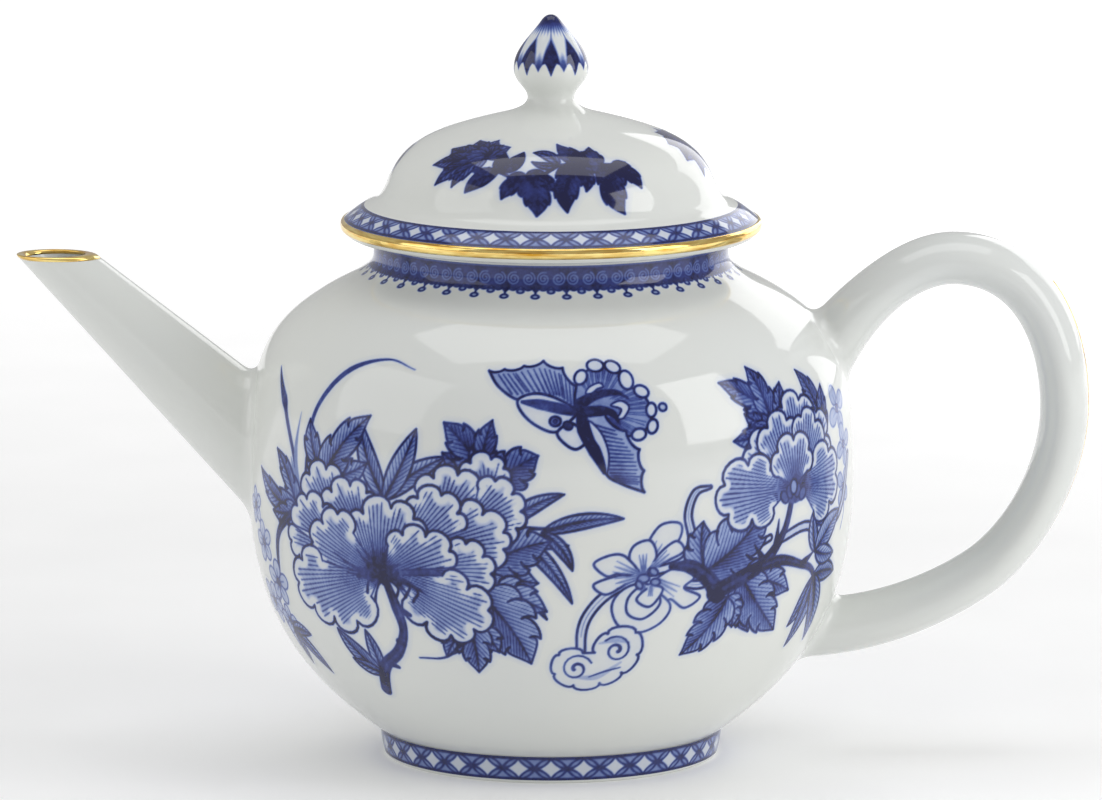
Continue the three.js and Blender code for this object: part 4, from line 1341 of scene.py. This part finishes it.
def lid_painting(material):
    dome = Surface(dome_shape, LID_GIRTH, LID_WAIST)
    for i in range(LID_SPRIGS):
        sheet = Sheet(-36, -5, 23, 23)
        sprig(sheet)
        sheet.finish()
        skin = painted(f"painting_lid_sprig_{i + 1}", sheet, dome, i * TURN / LID_SPRIGS * LID_GIRTH)
        belongs(skin, "lid", "porcelain", material)
    rim = Surface(dome_shape, BRIM_RADIUS, GILDING_HIGH)
    lattice = border("painting_lid_border", lid_lattice, rim, LID_TILES,
                     (-LID_TRELLIS / 2 - 0.4, LID_TRELLIS / 2 + 0.4), LID_TRELLIS / 2 + 0.45, 0.6)
    belongs(lattice, "lid", "cobalt_band", material)
    knob = Surface(knob_shape, KNOB_RADIUS, KNOB_GIRTH_HEIGHT)
    petals = border("painting_lid_knob", bud_petals, knob, KNOB_PETALS, (-1.6, knob.along[-1]), 0, 1.0, 0.12)
    belongs(petals, "lid", "porcelain", material)


def band_paintings(material):
    neck = Surface(belly_shape, COLLAR_RADIUS, SEAT_HEIGHT - RIM_ROUNDING)
    fringe = border("painting_neck_border", pendants, neck, NECK_TILES, (-9.6, 0), 0, 0.7, 0.16)
    belongs(fringe, "pot", "cobalt_band", material)
    points, normals = foot_shape()
    outside = normals[:, 0] > 0.5
    foot = Surface((points[outside], normals[outside]), FOOT_RADIUS, 0.9)
    lattice = border("painting_foot_border", foot_lattice, foot, FOOT_TILES,
                     (-FOOT_TRELLIS / 2 - 0.3, FOOT_TRELLIS / 2 + 0.3), FOOT_TRELLIS / 2 + 0.2, 0.6)
    belongs(lattice, "pot", "cobalt_band", material)


# ---- Room: floor, light and camera ----

TENT_LIGHT = 0.46
SOFT_BOXES = {  # place, width and height in metres, and power in watts
    "left_box": ((-0.95, -0.35, 0.55), 0.8, 0.8, 2.0),
    "right_box": ((0.95, -0.45, 0.5), 0.55, 0.8, 4.4),
    "top_box": ((0, 0.1, 1.2), 1.1, 0.7, 3.6),
    "back_box": ((0.6, 0.95, 0.42), 0.8, 0.7, 3),
}
SOFT_BOX_AIM = (0, 0, 0.08)
FLOOR_SIZE = 8
GLOW_STRENGTH = (0.12, 0.6)  # of the floor's own light, near the pot and far from it
GLOW_REACH = (0.3, 1.3)  # metres from the pot's axis between which it grows


def floor():
    """A pale sweep of paper, which a light of its own keeps white behind the pot."""
    bpy.ops.mesh.primitive_plane_add(size=FLOOR_SIZE)
    plane = bpy.context.object
    plane.name = "floor"
    paper = Material("pale_floor")
    away = paper.node("VectorMath", "Value", "LENGTH", Vector=paper.place)
    glow = paper.spread(away, *GLOW_STRENGTH, *GLOW_REACH)
    paper.link(paper.spread(paper.noise(30, 3), 0.88, 0.91), paper.shader["Base Color"])
    paper.shader["Roughness"].default_value = 0.6
    paper.shader["Emission Color"].default_value = (1, 1, 1, 1)
    paper.link(glow, paper.shader["Emission Strength"])
    plane.data.materials.append(paper.data)


def soft_box(name, place, width, height, power):
    lamp = bpy.data.lights.new(name, "AREA")
    lamp.shape = "RECTANGLE"
    lamp.size = width
    lamp.size_y = height
    lamp.energy = power
    thing = bpy.data.objects.new(name, lamp)
    thing.location = place
    thing.rotation_euler = (Vector(SOFT_BOX_AIM) - Vector(place)).to_track_quat("-Z", "Y").to_euler()
    thing.visible_camera = False
    bpy.context.scene.collection.objects.link(thing)


def lighting():
    """A dim, even light tent and four soft boxes."""
    world = bpy.data.worlds.new("studio")
    bpy.context.scene.world = world
    world.use_nodes = True
    tent = world.node_tree.nodes["Background"].inputs
    tent["Color"].default_value = (1, 1, 1, 1)
    tent["Strength"].default_value = TENT_LIGHT
    for name, box in SOFT_BOXES.items():
        soft_box(name, *box)


CAMERA_DISTANCE = 2.274  # metres, as is the target
CAMERA_PITCH = 0.1663  # radians
CAMERA_TARGET = (0, 0, 0.0851)
CAMERA_LENS = 311.5  # millimetres, as is the sensor's width
CAMERA_SENSOR = 36


def camera():
    data = bpy.data.cameras.new("camera")
    data.lens = CAMERA_LENS
    data.sensor_width = CAMERA_SENSOR
    data.clip_start = 0.05
    data.clip_end = 50
    thing = bpy.data.objects.new("camera", data)
    away = Vector((0, -math.cos(CAMERA_PITCH), math.sin(CAMERA_PITCH)))
    thing.location = Vector(CAMERA_TARGET) + away * CAMERA_DISTANCE
    thing.rotation_euler = (-away).to_track_quat("-Z", "Y").to_euler()
    bpy.context.scene.collection.objects.link(thing)
    bpy.context.scene.camera = thing


# ---- The teapot ----

glaze = glaze_material()
gold = gilding_material()
glazed_pot(glaze)
foot_ring(glaze)
lid_pieces(glaze)
spout(glaze)
spout_gilding(gold)
handle(glaze)
handle_gilding(gold)
lid_gilding(gold)
belly_painting(glaze)
lid_painting(glaze)
band_paintings(glaze)

floor()
lighting()
camera()
bpy.context.scene.view_settings.view_transform = "Standard"
